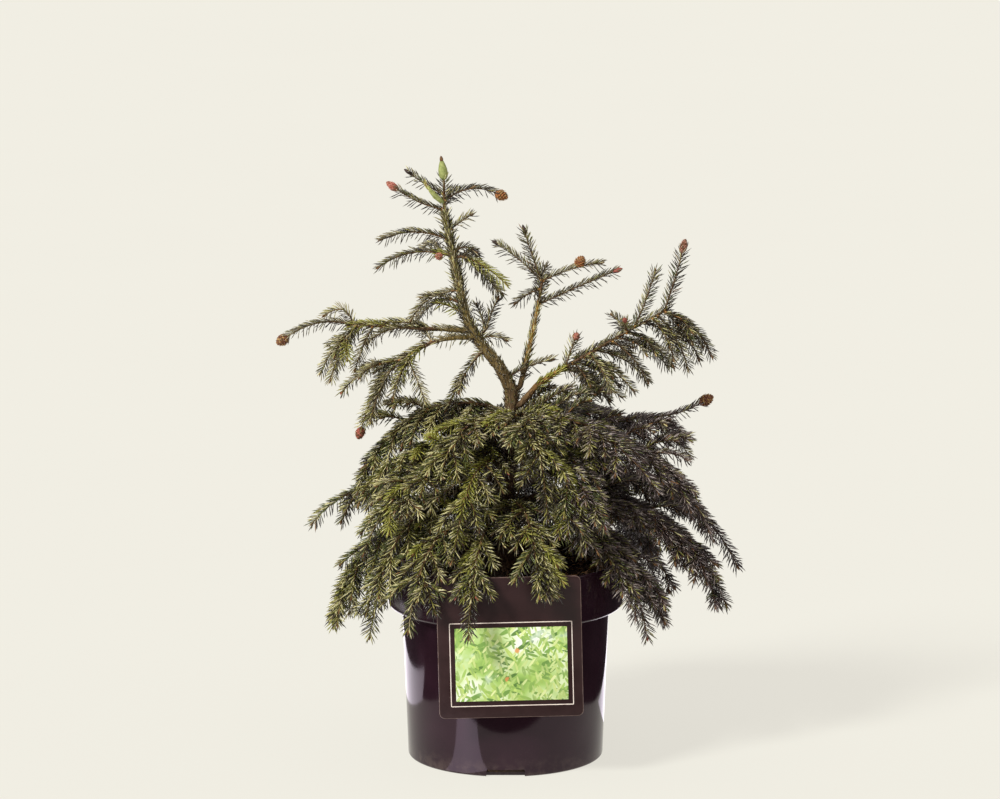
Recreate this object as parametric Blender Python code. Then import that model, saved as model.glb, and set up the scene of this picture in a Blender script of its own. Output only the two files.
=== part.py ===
"""A young Norway spruce in a black nursery pot.

The trunk, the main boughs and every mass of needled shoots are objects of their own.
Everything grows by rule from the named sizes below.  Metres, +Z up, origin in the
middle of the pot's flat underside, the viewer on the -Y side.
"""

import math
import random

import bmesh
import bpy
from mathutils import Matrix, Vector
from mathutils.bvhtree import BVHTree

# Clearance kept between two separate pieces
GAP = 0.0003
SEED = 4107

# Pot: a tapered body under a wide collar
ROUND_STEPS = 40
POT_BASE_RADIUS = 0.0920
POT_NECK_RADIUS = 0.0975
POT_NECK_HEIGHT = 0.1455
COLLAR_FOOT_RADIUS = 0.1105
COLLAR_TOP_RADIUS = 0.1125
POT_HEIGHT = 0.1925
POT_WALL = 0.0024
POT_FLOOR = 0.0030
RIM_ROUND = 0.0008
STEP_ROUND = 0.0035
BASE_ROUND = 0.0028
DRAIN_SLOTS = 3
DRAIN_WIDTH = 0.0360
DRAIN_HEIGHT = 0.0070
DRAIN_DEPTH = 0.0120

# Growing medium
SOIL_TOP = 0.1767
SOIL_BUMP = 0.0018
SOIL_RINGS = 2

# Picture card hooked over the front of the rim
CARD_WIDTH = 0.1340
CARD_TOP = 0.1975
CARD_FOOT = 0.0635
CARD_THICK = 0.0014
CARD_CENTRE_X = 0.0040
CARD_ROLL = 1.4
CARD_CORNER = 0.0055
HOOK_WIDTH = 0.0560
HOOK_DROP = 0.0120
HOOK_THICK = 0.0012

# Trunk stations from the soil up: x, y, z, radius
TRUNK = (
    (0.0000, 0.0000, 0.1770, 0.0118),
    (0.0003, 0.0002, 0.1840, 0.0092),
    (0.0010, 0.0010, 0.2050, 0.0079),
    (0.0030, 0.0030, 0.2600, 0.0073),
    (0.0060, 0.0030, 0.3200, 0.0067),
    (0.0050, 0.0010, 0.3520, 0.0061),
    (-0.0060, -0.0020, 0.3740, 0.0056),
    (-0.0240, -0.0040, 0.3960, 0.0049),
    (-0.0360, -0.0040, 0.4180, 0.0041),
    (-0.0430, -0.0040, 0.4500, 0.0034),
    (-0.0500, -0.0030, 0.4850, 0.0027),
    (-0.0570, -0.0020, 0.5210, 0.0021),
)
TRUNK_SIDES = 8

# Shoots: a slim core with forward needles in tiers stands for one shoot.  The core,
# root and last tier are shares of the needles' reach, the stalk a share of the length.
NEEDLE_REACH = 0.0098
CORE_SHARE = 0.13
ROOT_SHARE = 0.045
END_SHARE = 0.58
STALK_SHARE = 0.14
NEEDLED_SHARE = 0.78
TIER_TWIST = 50
CORE_SIDES = 3
SHORT_SHOOT = 0.0500
ROOT_SINK = 0.0030
ROOM_MARGIN = 1.07
CONE_RADIUS = 0.0052
CONE_SEAT = 0.0030

# Twigs, and the limbs that carry them
TWIG_RADIUS = 0.0020
TWIG_TIP_RADIUS = 0.0009
TWIG_SIDES = 3
BOUGH_SIDES = 6
BOUGH_TAPER = 0.58
ARC_STEPS = 8

# A limb's end slides in on the trunk until no point round its first stretch is nearer
# than the gap
SEAT_START = 0.0250
SEAT_STEPS = 24
SEAT_CORNERS = 12
SEAT_REACHES = (0.0, 0.0040, 0.0090, 0.0180)

# Side shoots of a drooping spray: where along its stem, how splayed, how long
FIRST_PAIR = 0.08
LAST_PAIR = 0.82
PAIR_STAGGER = 0.036
SPLAY = (44, 60)
SPLAY_CLOSING = 10
SAG = (0.10, 0.45)
TIP_SHRINK = 0.22
LENGTH_SPREAD = (0.88, 1.14)
# Shoots on its upper side, one to every second pair
OVER_OFFSET = 0.075
OVER_RISE = (0.35, 0.60)
OVER_LENGTH = (0.62, 0.80)

# Low and middle boughs, each with a drooping spray on its end.  A bough with no
# length of its own leaves its spray rooted on the trunk.
# name, height on the trunk, azimuth, lift, bend, reach, bough length, pairs, side length
FANS = (
    ("skirt_left", 0.238, 197, 20, -84, 0.177, 0.062, 4, 0.055),
    ("skirt_left_low", 0.254, 214, 22, -100, 0.175, 0.000, 3, 0.050),
    ("skirt_front_left", 0.230, 231, 32, -108, 0.160, 0.056, 3, 0.048),
    ("skirt_front", 0.222, 256, 38, -112, 0.158, 0.000, 3, 0.044),
    ("skirt_front_right", 0.234, 282, 40, -104, 0.142, 0.000, 3, 0.046),
    ("skirt_right_front", 0.226, 334, 26, -104, 0.162, 0.056, 4, 0.052),
    ("skirt_right", 0.242, 357, 24, -82, 0.196, 0.064, 5, 0.056),
    ("skirt_back_right", 0.230, 36, 26, -100, 0.198, 0.064, 4, 0.056),
    ("skirt_back", 0.238, 82, 26, -102, 0.192, 0.064, 4, 0.054),
    ("skirt_back_left", 0.228, 132, 26, -100, 0.198, 0.064, 4, 0.056),
    ("low_left", 0.262, 176, 14, -40, 0.150, 0.074, 3, 0.044),
    ("middle_front_left", 0.284, 212, 26, -84, 0.150, 0.050, 4, 0.050),
    ("middle_front", 0.276, 246, 40, -106, 0.122, 0.000, 3, 0.046),
    ("middle_front_right", 0.288, 304, 36, -106, 0.130, 0.046, 3, 0.050),
    ("middle_right", 0.290, 348, 36, -92, 0.178, 0.060, 4, 0.052),
    ("lower_right", 0.258, 14, 24, -76, 0.210, 0.064, 5, 0.052),
    ("middle_back_right", 0.280, 60, 28, -82, 0.160, 0.054, 4, 0.050),
    ("middle_back_left", 0.274, 106, 26, -80, 0.158, 0.054, 4, 0.050),
    ("inner_left", 0.302, 194, 14, -50, 0.104, 0.000, 3, 0.046),
    ("upper_left", 0.330, 187, 26, -84, 0.132, 0.000, 4, 0.048),
    ("upper_back_left", 0.314, 148, 28, -74, 0.128, 0.000, 4, 0.048),
    ("upper_back", 0.306, 92, 28, -76, 0.118, 0.000, 3, 0.046),
    ("upper_back_right", 0.316, 34, 26, -66, 0.130, 0.000, 4, 0.048),
    ("upper_front_left", 0.318, 228, 36, -104, 0.104, 0.000, 3, 0.046),
    ("upper_front_right", 0.322, 286, 38, -108, 0.112, 0.000, 3, 0.046),
    ("under_right", 0.322, 322, 22, -60, 0.138, 0.000, 4, 0.048),
)

# Boughs of the open top, and the sprays on them or on the trunk, whose shoots are
# given one by one.
# name, height, azimuth, lift, bend, bough length, stem length
ARMS = (
    ("right_leader", 0.352, 14, 75, 6, 0.080, 0.026),
    ("right_high", 0.336, 350, 37, -5, 0.050, 0.120),
    ("right_cone", 0.308, 8, 5, 2, 0.096, 0.028),
    ("left_high", 0.408, 180, 3, 0, 0.026, 0.082),
    ("left_middle", 0.402, 194, 6, -62, 0.030, 0.070),
    ("crown_top", 0.521, 97, 84, 4, 0.000, 0.032),
    ("crown_left", 0.480, 180, 8, 0, 0.000, 0.010),
    ("crown_right", 0.478, 0, 4, 0, 0.000, 0.010),
    ("shoulder_left", 0.436, 182, 20, 0, 0.000, 0.008),
    ("shoulder_right", 0.404, 20, 40, 10, 0.000, 0.010),
    ("shoulder_low", 0.388, 210, -40, -10, 0.000, 0.010),
)

# Shoots on each arm: place along the stem, azimuth, lift, length, cone length
ARM_SHOOTS = {
    "right_leader": (
        (0.10, 352, 24, 0.074, 0.012),
        (1.00, 352, 22, 0.056, 0.014),
        (0.98, 176, 40, 0.054, 0.0),
        (0.90, 170, 78, 0.048, 0.0),
        (0.60, 188, -28, 0.026, 0.0),
        (0.30, 80, 30, 0.044, 0.0),
    ),
    "right_high": (
        (0.04, 20, 72, 0.030, 0.010),
        (0.44, 262, 34, 0.026, 0.0),
        (0.58, 4, 60, 0.070, 0.0),
        (1.00, 12, 74, 0.056, 0.016),
        (1.00, 352, -42, 0.060, 0.0),
        (0.90, 322, -52, 0.058, 0.0),
        (0.62, 334, -40, 0.060, 0.0),
        (0.50, 330, -62, 0.062, 0.0),
        (0.30, 300, -36, 0.048, 0.0),
        (0.08, 320, 16, 0.052, 0.0),
        (0.78, 44, -34, 0.056, 0.0),
        (0.42, 60, -20, 0.052, 0.0),
        (0.14, 292, -18, 0.042, 0.0),
        (0.18, 70, 4, 0.044, 0.0),
        (0.02, 44, 30, 0.052, 0.0),
    ),
    "right_cone": (
        (1.00, 358, 13, 0.056, 0.015),
        (0.90, 340, -38, 0.056, 0.0),
        (0.70, 30, -30, 0.056, 0.0),
        (0.24, 312, -34, 0.046, 0.0),
        (0.20, 52, -14, 0.046, 0.0),
    ),
    "left_high": (
        (0.08, 180, 8, 0.042, 0.0),
        (0.52, 180, 2, 0.040, 0.0),
        (1.00, 181, -12, 0.056, 0.014),
        (0.98, 172, 40, 0.032, 0.0),
        (0.94, 206, -62, 0.056, 0.0),
        (0.86, 160, -58, 0.050, 0.0),
        (0.74, 222, -60, 0.044, 0.0),
    ),
    "left_middle": (
        (1.00, 190, -66, 0.052, 0.012),
        (0.60, 184, -28, 0.062, 0.0),
        (0.80, 222, -62, 0.050, 0.0),
        (0.42, 300, -58, 0.052, 0.0),
        (0.48, 140, -40, 0.056, 0.0),
        (0.84, 118, -50, 0.050, 0.0),
        (0.22, 210, -46, 0.050, 0.0),
        (0.14, 110, 10, 0.040, 0.0),
    ),
    "crown_top": (
        (0.16, 180, 24, 0.046, 0.015),
        (0.44, 352, 8, 0.048, 0.014),
        (0.60, 196, 34, 0.036, 0.0),
        (0.36, 236, 50, 0.022, 0.0),
        (0.50, 80, 30, 0.048, 0.0),
        (1.00, 120, 84, 0.023, 0.0),
    ),
    "crown_left": (
        (0.90, 176, 17, 0.060, 0.0),
        (0.60, 192, -12, 0.060, 0.0),
        (0.70, 110, -4, 0.054, 0.0),
    ),
    "crown_right": (
        (0.20, 350, 68, 0.036, 0.0),
        (0.90, 340, -20, 0.050, 0.0),
        (0.90, 12, -40, 0.056, 0.0),
        (0.60, 74, 0, 0.050, 0.0),
        (0.70, 300, 6, 0.024, 0.0),
    ),
    "shoulder_left": (
        (0.90, 196, 10, 0.044, 0.0),
        (0.70, 150, -30, 0.044, 0.0),
    ),
    "shoulder_right": (
        (0.80, 40, 66, 0.038, 0.0),
        (0.60, 110, 44, 0.044, 0.0),
    ),
    "shoulder_low": (
        (0.90, 204, -66, 0.048, 0.0),
    ),
}

# Finish of each family of pieces: colour, roughness
POT_FINISH = ((0.018, 0.014, 0.017, 1.0), 0.18)
SOIL_FINISH = ((0.045, 0.030, 0.020, 1.0), 0.95)
CARD_FINISH = ((0.035, 0.020, 0.022, 1.0), 0.35)
BARK_FINISH = ((0.160, 0.100, 0.050, 1.0), 0.80)
NEEDLE_FINISH = ((0.070, 0.115, 0.030, 1.0), 0.60)


def clear_scene():
    """Empty the scene that Blender opens with."""
    for thing in list(bpy.data.objects):
        bpy.data.objects.remove(thing, do_unlink=True)


def make_material(name, finish):
    """Principled material with a flat colour and a roughness."""
    material = bpy.data.materials.new(name)
    material.use_nodes = True
    shader = material.node_tree.nodes["Principled BSDF"]
    shader.inputs["Base Color"].default_value = finish[0]
    shader.inputs["Roughness"].default_value = finish[1]
    shader.inputs["Metallic"].default_value = 0.0
    return material


def make_object(name, bm, finish=None, smooth=False):
    """Turn a bmesh into a linked object, with its own material where a finish is given."""
    mesh = bpy.data.meshes.new(name)
    bmesh.ops.recalc_face_normals(bm, faces=bm.faces[:])
    bm.to_mesh(mesh)
    bm.free()
    thing = bpy.data.objects.new(name, mesh)
    bpy.context.scene.collection.objects.link(thing)
    if finish:
        mesh.materials.append(make_material(name + "_finish", finish))
    if smooth:
        mesh.shade_smooth()
        mesh.set_sharp_from_angle(angle=math.radians(40))
    return thing


def join_pieces(base, pieces, solver="EXACT", operation="UNION"):
    """Fuse a collection of pieces into the base, or cut them from it, and remove them."""
    group = bpy.data.collections.new(base.name + "_pieces")
    bpy.context.scene.collection.children.link(group)
    for piece in pieces:
        bpy.context.scene.collection.objects.unlink(piece)
        group.objects.link(piece)
    joint = base.modifiers.new("join", "BOOLEAN")
    joint.operation = operation
    joint.operand_type = "COLLECTION"
    joint.collection = group
    joint.solver = solver
    bpy.context.view_layer.update()
    graph = bpy.context.evaluated_depsgraph_get()
    joined = bpy.data.meshes.new_from_object(base.evaluated_get(graph))
    base.modifiers.clear()
    base.data = joined
    for piece in pieces:
        bpy.data.objects.remove(piece, do_unlink=True)
    bpy.data.collections.remove(group)


def keep_largest_island(thing):
    """Drop loose scraps and sealed hollows, which leaves one closed body."""
    bm = bmesh.new()
    bm.from_mesh(thing.data)
    unseen = set(bm.verts)
    islands = []
    while unseen:
        seed = unseen.pop()
        island = [seed]
        edge_of_search = [seed]
        while edge_of_search:
            vert = edge_of_search.pop()
            for edge in vert.link_edges:
                other = edge.other_vert(vert)
                if other in unseen:
                    unseen.discard(other)
                    island.append(other)
                    edge_of_search.append(other)
        islands.append(island)
    islands.sort(key=len)
    for island in islands[:-1]:
        bmesh.ops.delete(bm, geom=island, context="VERTS")
    bm.to_mesh(thing.data)
    bm.free()


def direction_of(azimuth, lift):
    """Unit vector from a compass azimuth and a lift above level, both in degrees."""
    turn = math.radians(azimuth)
    slope = math.radians(lift)
    level = math.cos(slope)
    return Vector((level * math.cos(turn), level * math.sin(turn), math.sin(slope)))


def arc_path(start, azimuth, lift, bend, length):
    """Points along a limb whose slope turns evenly from lift to lift plus bend."""
    points = [Vector(start)]
    for step in range(ARC_STEPS):
        slope = lift + bend * (step + 0.5) / ARC_STEPS
        points.append(points[-1] + direction_of(azimuth, slope) * (length / ARC_STEPS))
    return points


def point_along(path, share):
    """Point and forward direction at a share of an evenly stepped path."""
    place = min(max(share, 0.0), 1.0) * (len(path) - 1)
    index = min(int(place), len(path) - 2)
    step = path[index + 1] - path[index]
    return path[index] + step * (place - index), step.normalized()


def root_along(path, share):
    """Place on a stem's centre line for the root of a shoot, sunk in from the stem's tip."""
    length = (path[1] - path[0]).length * (len(path) - 1)
    return point_along(path, min(share, 1.0 - ROOT_SINK / length))[0]


def cut_path(path, first, last):
    """The stretch of a path between two shares, with its ends set exactly."""
    inside = [
        point for index, point in enumerate(path)
        if first + 0.01 < index / (len(path) - 1) < last - 0.01
    ]
    return [point_along(path, first)[0]] + inside + [point_along(path, last)[0]]


def trunk_at(height):
    """Centre and upward direction of the trunk at a height."""
    for low, high in zip(TRUNK, TRUNK[1:]):
        foot = Vector(low[:3])
        forward = Vector(high[:3]) - foot
        if height <= high[2]:
            break
    share = min((height - low[2]) / (high[2] - low[2]), 1.0)
    return foot + forward * share, forward.normalized()


def tube(path, radii, sides):
    """Closed tapering tube round a path, as a bmesh."""
    bm = bmesh.new()
    rings = []
    normal = None
    for index, point in enumerate(path):
        before = path[max(index - 1, 0)]
        after = path[min(index + 1, len(path) - 1)]
        forward = (after - before).normalized()
        if normal is None:
            normal = forward.orthogonal().normalized()
        normal = (normal - forward * normal.dot(forward)).normalized()
        side = forward.cross(normal)
        ring = []
        for corner in range(sides):
            turn = math.tau * corner / sides
            offset = normal * math.cos(turn) + side * math.sin(turn)
            ring.append(bm.verts.new(point + offset * radii[index]))
        rings.append(ring)
    for low, high in zip(rings, rings[1:]):
        for corner in range(sides):
            after = (corner + 1) % sides
            bm.faces.new((low[corner], low[after], high[after], high[corner]))
    bm.faces.new(rings[0])
    bm.faces.new(rings[-1])
    return bm


def tapered(path, first, last):
    """Radii that shrink evenly along a path."""
    return [first + (last - first) * index / (len(path) - 1) for index in range(len(path))]


def shoot_mesh(name, tiers):
    """Unit shoot along +Z: a bare stalk, then a slim core with forward needles in tiers."""
    bm = bmesh.new()
    twist = math.radians(TIER_TWIST)
    rings = []
    for level in range(tiers + 1):
        tier = max(level - 1, 0)
        reach = CORE_SHARE * (1.0 - 0.35 * tier / tiers) if level else ROOT_SHARE
        height = STALK_SHARE + NEEDLED_SHARE * tier / tiers if level else 0.0
        ring = []
        for corner in range(CORE_SIDES):
            turn = math.tau * corner / CORE_SIDES + twist * tier
            ring.append(bm.verts.new((reach * math.cos(turn), reach * math.sin(turn), height)))
        rings.append(ring)
    end = bm.verts.new((0.0, 0.0, 1.0))
    bm.faces.new(rings[0][::-1])
    for corner in range(CORE_SIDES):
        after = (corner + 1) % CORE_SIDES
        bm.faces.new((rings[0][corner], rings[0][after], rings[1][after], rings[1][corner]))
    for tier in range(tiers):
        low = rings[tier + 1]
        reach = END_SHARE if tier == tiers - 1 else 1.0
        height = min(STALK_SHARE + NEEDLED_SHARE * (tier + 1.25) / tiers, 0.985)
        for corner in range(CORE_SIDES):
            after = (corner + 1) % CORE_SIDES
            turn = math.tau * (corner + 0.5) / CORE_SIDES + twist * (tier + 0.5)
            point = bm.verts.new((reach * math.cos(turn), reach * math.sin(turn), height))
            if tier < tiers - 1:
                high = rings[tier + 2]
                foot = (low[corner], low[after], high[after], high[corner])
            else:
                foot = (low[corner], low[after], end)
            for first, second in zip(foot, foot[1:] + foot[:1]):
                bm.faces.new((first, second, point))
    bmesh.ops.recalc_face_normals(bm, faces=bm.faces[:])
    mesh = bpy.data.meshes.new(name)
    bm.to_mesh(mesh)
    bm.free()
    return mesh


def cone_mesh(name):
    """Unit spruce cone along +Z, egg-shaped."""
    bm = bmesh.new()
    bmesh.ops.create_uvsphere(bm, u_segments=6, v_segments=5, radius=1.0)
    for vert in bm.verts:
        vert.co.z = (vert.co.z + 1.0) / 2.0
    mesh = bpy.data.meshes.new(name)
    bm.to_mesh(mesh)
    bm.free()
    return mesh


def unit_matrix(root, direction, length, radius, roll):
    """Transform that stretches a unit mesh along a direction from its root."""
    turn = direction.to_track_quat("Z", "Y").to_matrix().to_4x4()
    size = Matrix.Diagonal((radius, radius, length, 1.0))
    return Matrix.Translation(root) @ turn @ Matrix.Rotation(roll, 4, "Z") @ size


def place_unit(name, mesh, root, direction, length, radius, roll):
    """Object made of a unit mesh in its place."""
    thing = bpy.data.objects.new(name, mesh)
    thing.matrix_world = unit_matrix(root, direction, length, radius, roll)
    bpy.context.scene.collection.objects.link(thing)
    return thing


class Space:
    """The surfaces that pieces already take, with a ball round each for a quick first test."""

    def __init__(self):
        self.shells = []

    @staticmethod
    def shell(mesh, matrix):
        """Search tree, middle and reach of a mesh put in its place."""
        points = [matrix @ vert.co for vert in mesh.vertices]
        middle = sum(points, Vector()) / len(points)
        reach = max((point - middle).length for point in points)
        tree = BVHTree.FromPolygons(points, [tuple(face.vertices) for face in mesh.polygons])
        return tree, middle, reach

    def take(self, owner, thing):
        """Mark the room of an object as taken by its owner."""
        self.shells.append((owner,) + self.shell(thing.data, thing.matrix_world))

    def tree_of(self, owner):
        """Search tree of the first shell that an owner took."""
        return next(shell[1] for shell in self.shells if shell[0] == owner)

    def is_free(self, owner, mesh, matrix):
        """True where a mesh in its place crosses no surface of another owner."""
        tree, middle, reach = self.shell(mesh, matrix)
        for other, other_tree, other_middle, other_reach in self.shells:
            if other != owner and (middle - other_middle).length < reach + other_reach:
                if tree.overlap(other_tree):
                    return False
        return True


def pot_profile():
    """Pot wall from the middle of the floor, up inside, over the rim and down outside."""
    inner_base = POT_BASE_RADIUS - POT_WALL
    inner_neck = POT_NECK_RADIUS - POT_WALL
    inner_collar = COLLAR_FOOT_RADIUS - POT_WALL
    step = POT_NECK_HEIGHT
    return (
        (0.0, POT_FLOOR),
        (inner_base, POT_FLOOR),
        (inner_neck, step + POT_WALL),
        (inner_collar, step + 1.6 * POT_WALL),
        (COLLAR_TOP_RADIUS - POT_WALL, POT_HEIGHT - RIM_ROUND),
        (COLLAR_TOP_RADIUS - POT_WALL + RIM_ROUND, POT_HEIGHT),
        (COLLAR_TOP_RADIUS - RIM_ROUND, POT_HEIGHT),
        (COLLAR_TOP_RADIUS, POT_HEIGHT - RIM_ROUND),
        (COLLAR_FOOT_RADIUS, step + STEP_ROUND),
        (COLLAR_FOOT_RADIUS - 0.3 * STEP_ROUND, step + 0.3 * STEP_ROUND),
        (COLLAR_FOOT_RADIUS - STEP_ROUND, step),
        (POT_NECK_RADIUS, step),
        (POT_BASE_RADIUS, BASE_ROUND),
        (POT_BASE_RADIUS - 0.3 * BASE_ROUND, 0.3 * BASE_ROUND),
        (POT_BASE_RADIUS - BASE_ROUND, 0.0),
        (0.0, 0.0),
    )


def turned(profile):
    """Full turn of a profile whose two ends lie on the Z axis."""
    bm = bmesh.new()
    verts = [bm.verts.new((radius, 0.0, height)) for radius, height in profile]
    edges = [bm.edges.new(pair) for pair in zip(verts, verts[1:])]
    bmesh.ops.spin(
        bm, geom=verts + edges, cent=(0.0, 0.0, 0.0), axis=(0.0, 0.0, 1.0),
        angle=math.tau, steps=ROUND_STEPS, use_merge=True,
    )
    bmesh.ops.remove_doubles(bm, verts=bm.verts[:], dist=0.00001)
    return bm


def box(name, size, centre, turn=None):
    """Plain box used as a cutter or joined to another piece."""
    bm = bmesh.new()
    bmesh.ops.create_cube(bm, size=1.0)
    bmesh.ops.scale(bm, vec=size, verts=bm.verts[:])
    thing = make_object(name, bm)
    thing.matrix_world = (turn or Matrix.Identity(4)) @ Matrix.Translation(centre)
    return thing


def make_pot():
    """Nursery pot with drain slots through the foot of its wall."""
    pot = make_object("pot", turned(pot_profile()), POT_FINISH, smooth=True)
    cutters = []
    for slot in range(DRAIN_SLOTS):
        turn = Matrix.Rotation(math.tau * slot / DRAIN_SLOTS - math.pi / 2, 4, "Z")
        reach = POT_BASE_RADIUS + 0.004 - DRAIN_DEPTH / 2
        size = (DRAIN_DEPTH, DRAIN_WIDTH, 2 * DRAIN_HEIGHT)
        cutters.append(box("drain_cutter", size, (reach, 0.0, 0.0), turn))
    join_pieces(pot, cutters, operation="DIFFERENCE")
    keep_largest_island(pot)
    return pot


def make_soil():
    """Growing medium that fills the pot, uneven on top but flat under the trunk."""
    rng = random.Random(SEED)
    wall = pot_profile()[1:4]
    low = [(radius - GAP, height + GAP) for radius, height in wall]
    share = (SOIL_TOP - wall[2][1]) / (POT_HEIGHT - wall[2][1])
    edge = wall[2][0] + (COLLAR_TOP_RADIUS - POT_WALL - wall[2][0]) * share - GAP
    rings = [(edge * (1 - ring / SOIL_RINGS), SOIL_TOP) for ring in range(SOIL_RINGS)]
    bm = turned([(0.0, POT_FLOOR + GAP)] + low + rings + [(0.0, SOIL_TOP)])
    flat_radius = edge / SOIL_RINGS + 0.002
    for vert in bm.verts:
        out = math.hypot(vert.co.x, vert.co.y)
        if vert.co.z > SOIL_TOP - 0.0001 and flat_radius < out < edge - 0.002:
            vert.co.z += rng.uniform(-SOIL_BUMP, SOIL_BUMP)
    return make_object("soil", bm, SOIL_FINISH)


def make_card():
    """Stiff card that stands in front of the collar and hooks over the rim."""
    front = -(COLLAR_TOP_RADIUS + GAP + CARD_THICK / 2)
    height = CARD_TOP - CARD_FOOT
    bm = bmesh.new()
    bmesh.ops.create_cube(bm, size=1.0)
    bmesh.ops.scale(bm, vec=(CARD_WIDTH, CARD_THICK, height), verts=bm.verts[:])
    corners = [
        edge for edge in bm.edges
        if abs(edge.verts[0].co.y - edge.verts[1].co.y) > CARD_THICK / 2
    ]
    bmesh.ops.bevel(
        bm, geom=corners, offset=CARD_CORNER, offset_type="OFFSET", affect="EDGES",
        segments=4, profile=0.5, clamp_overlap=True, material=-1,
    )
    middle = (CARD_CENTRE_X, front, (CARD_TOP + CARD_FOOT) / 2)
    roll = Matrix.Rotation(-math.radians(CARD_ROLL), 3, "Y")
    bmesh.ops.rotate(bm, cent=(0.0, 0.0, 0.0), matrix=roll, verts=bm.verts[:])
    bmesh.ops.translate(bm, vec=middle, verts=bm.verts[:])
    card = make_object("card", bm, CARD_FINISH)
    # The hook runs level over the rim, then down inside the collar
    inner_radius = COLLAR_FOOT_RADIUS - POT_WALL
    half_width = HOOK_WIDTH / 2 + abs(CARD_CENTRE_X)
    back = HOOK_THICK / 2 + 2 * GAP - math.sqrt(inner_radius ** 2 - half_width ** 2)
    shelf_height = POT_HEIGHT + GAP + HOOK_THICK / 2
    shelf_depth = back - front + HOOK_THICK / 2
    shelf_middle = (CARD_CENTRE_X, front + shelf_depth / 2, shelf_height)
    drop_middle = (CARD_CENTRE_X, back, shelf_height + (HOOK_THICK - HOOK_DROP) / 2)
    shelf = box("hook_shelf", (HOOK_WIDTH, shelf_depth, HOOK_THICK), shelf_middle)
    drop = box("hook_drop", (HOOK_WIDTH, HOOK_THICK, HOOK_DROP), drop_middle)
    join_pieces(card, [shelf, drop])
    return card


def make_trunk(space):
    """Leaning trunk from its flared foot to where the top spray starts."""
    path = [Vector(station[:3]) for station in TRUNK]
    radii = [station[3] for station in TRUNK]
    bm = tube(path, radii, TRUNK_SIDES)
    for vert in bm.verts:
        if vert.co.z < TRUNK[0][2] + 0.002:
            vert.co.z = TRUNK[0][2]
    trunk = make_object("trunk", bm, BARK_FINISH, smooth=True)
    space.take("trunk", trunk)
    return trunk


def limb_start(height, azimuth, lift, radius, trunk_tree):
    """Where a limb's end comes to lie the gap away from the trunk's side or tip."""
    centre, trunk_forward = trunk_at(height)
    forward = direction_of(azimuth, lift)
    approach = trunk_forward if height >= TRUNK[-1][2] else direction_of(azimuth, 0)
    side = forward.orthogonal().normalized()
    over = side.cross(forward)
    rim = [
        (side * math.cos(turn) + over * math.sin(turn)) * radius
        for turn in (math.tau * step / SEAT_CORNERS for step in range(SEAT_CORNERS))
    ]
    samples = [forward * along + offset for along in SEAT_REACHES for offset in rim]
    start = centre + approach * SEAT_START
    for _ in range(SEAT_STEPS):
        nearest = min(trunk_tree.find_nearest(start + sample)[3] for sample in samples)
        start -= approach * (nearest - GAP)
    return start


def bough_radius(length):
    """Thickness of a bough's base from the reach of what it carries."""
    return 0.0018 + 0.0085 * length


def make_bough(name, path, radius, tip_radius, space):
    """One tapering limb."""
    radii = tapered(path, radius, tip_radius)
    bough = make_object(name, tube(path, radii, BOUGH_SIDES), BARK_FINISH, smooth=True)
    space.take(name, bough)


def fan_shoots(path, pairs, side_length, rng):
    """Shoots of a drooping spray: pairs along its stem, shorter towards the tip."""
    shoots = []
    up = Vector((0.0, 0.0, 1.0))
    for pair in range(pairs):
        share = FIRST_PAIR + (LAST_PAIR - FIRST_PAIR) * pair / (pairs - 1)
        forward = point_along(path, share)[1]
        side = forward.cross(up).normalized()
        over = side.cross(forward)
        for hand in (-1, 1):
            angle = math.radians(rng.uniform(*SPLAY) - SPLAY_CLOSING * share)
            out = forward * math.cos(angle) + side * (hand * math.sin(angle))
            out -= up * rng.uniform(*SAG)
            root = root_along(path, share + PAIR_STAGGER * (1 + hand) / 2)
            length = side_length * (1.0 - TIP_SHRINK * share) * rng.uniform(*LENGTH_SPREAD)
            shoots.append((root, out.normalized(), length, 0.0))
        if pair % 2 == 0:
            root = root_along(path, share + OVER_OFFSET)
            out = forward * 0.8 + over * rng.uniform(*OVER_RISE) + side * rng.uniform(-0.25, 0.25)
            shoots.append((root, out.normalized(), side_length * rng.uniform(*OVER_LENGTH), 0.0))
    droop = (point_along(path, 1.0)[1] - up * 0.15).normalized()
    shoots.append((root_along(path, 1.0), droop, side_length * rng.uniform(0.95, 1.10), 0.0))
    return shoots


def arm_shoots(path, listed):
    """Shoots of an arm, from its own list."""
    shoots = []
    for share, azimuth, lift, length, cone in listed:
        shoots.append((root_along(path, share), direction_of(azimuth, lift), length, cone))
    return shoots


def make_stem(name, path, space):
    """The three-sided twig that a mass of foliage grows on."""
    radii = tapered(path, TWIG_RADIUS, TWIG_TIP_RADIUS)
    stem = make_object(name, tube(path, radii, TWIG_SIDES), NEEDLE_FINISH)
    space.take(name, stem)
    return stem


def make_spray(stem, shoots, space, units, rng):
    """One mass of foliage: its stem with every shoot that keeps to the mass's own space."""
    pieces = []
    for root, direction, length, cone in shoots:
        roll = rng.uniform(0.0, math.tau)
        unit = units["short" if length < SHORT_SHOOT else "long"]
        room = unit_matrix(root, direction, length + cone, NEEDLE_REACH * ROOM_MARGIN, roll)
        if not space.is_free(stem.name, unit, room):
            continue
        shoot = place_unit("shoot", unit, root, direction, length, NEEDLE_REACH, roll)
        pieces.append(shoot)
        space.take(stem.name, shoot)
        if cone:
            seat = root + direction * (length - CONE_SEAT)
            fruit = place_unit("fruit", units["cone"], seat, direction, cone, CONE_RADIUS, roll)
            pieces.append(fruit)
            space.take(stem.name, fruit)
    if pieces:
        join_pieces(stem, pieces)
        keep_largest_island(stem)


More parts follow.
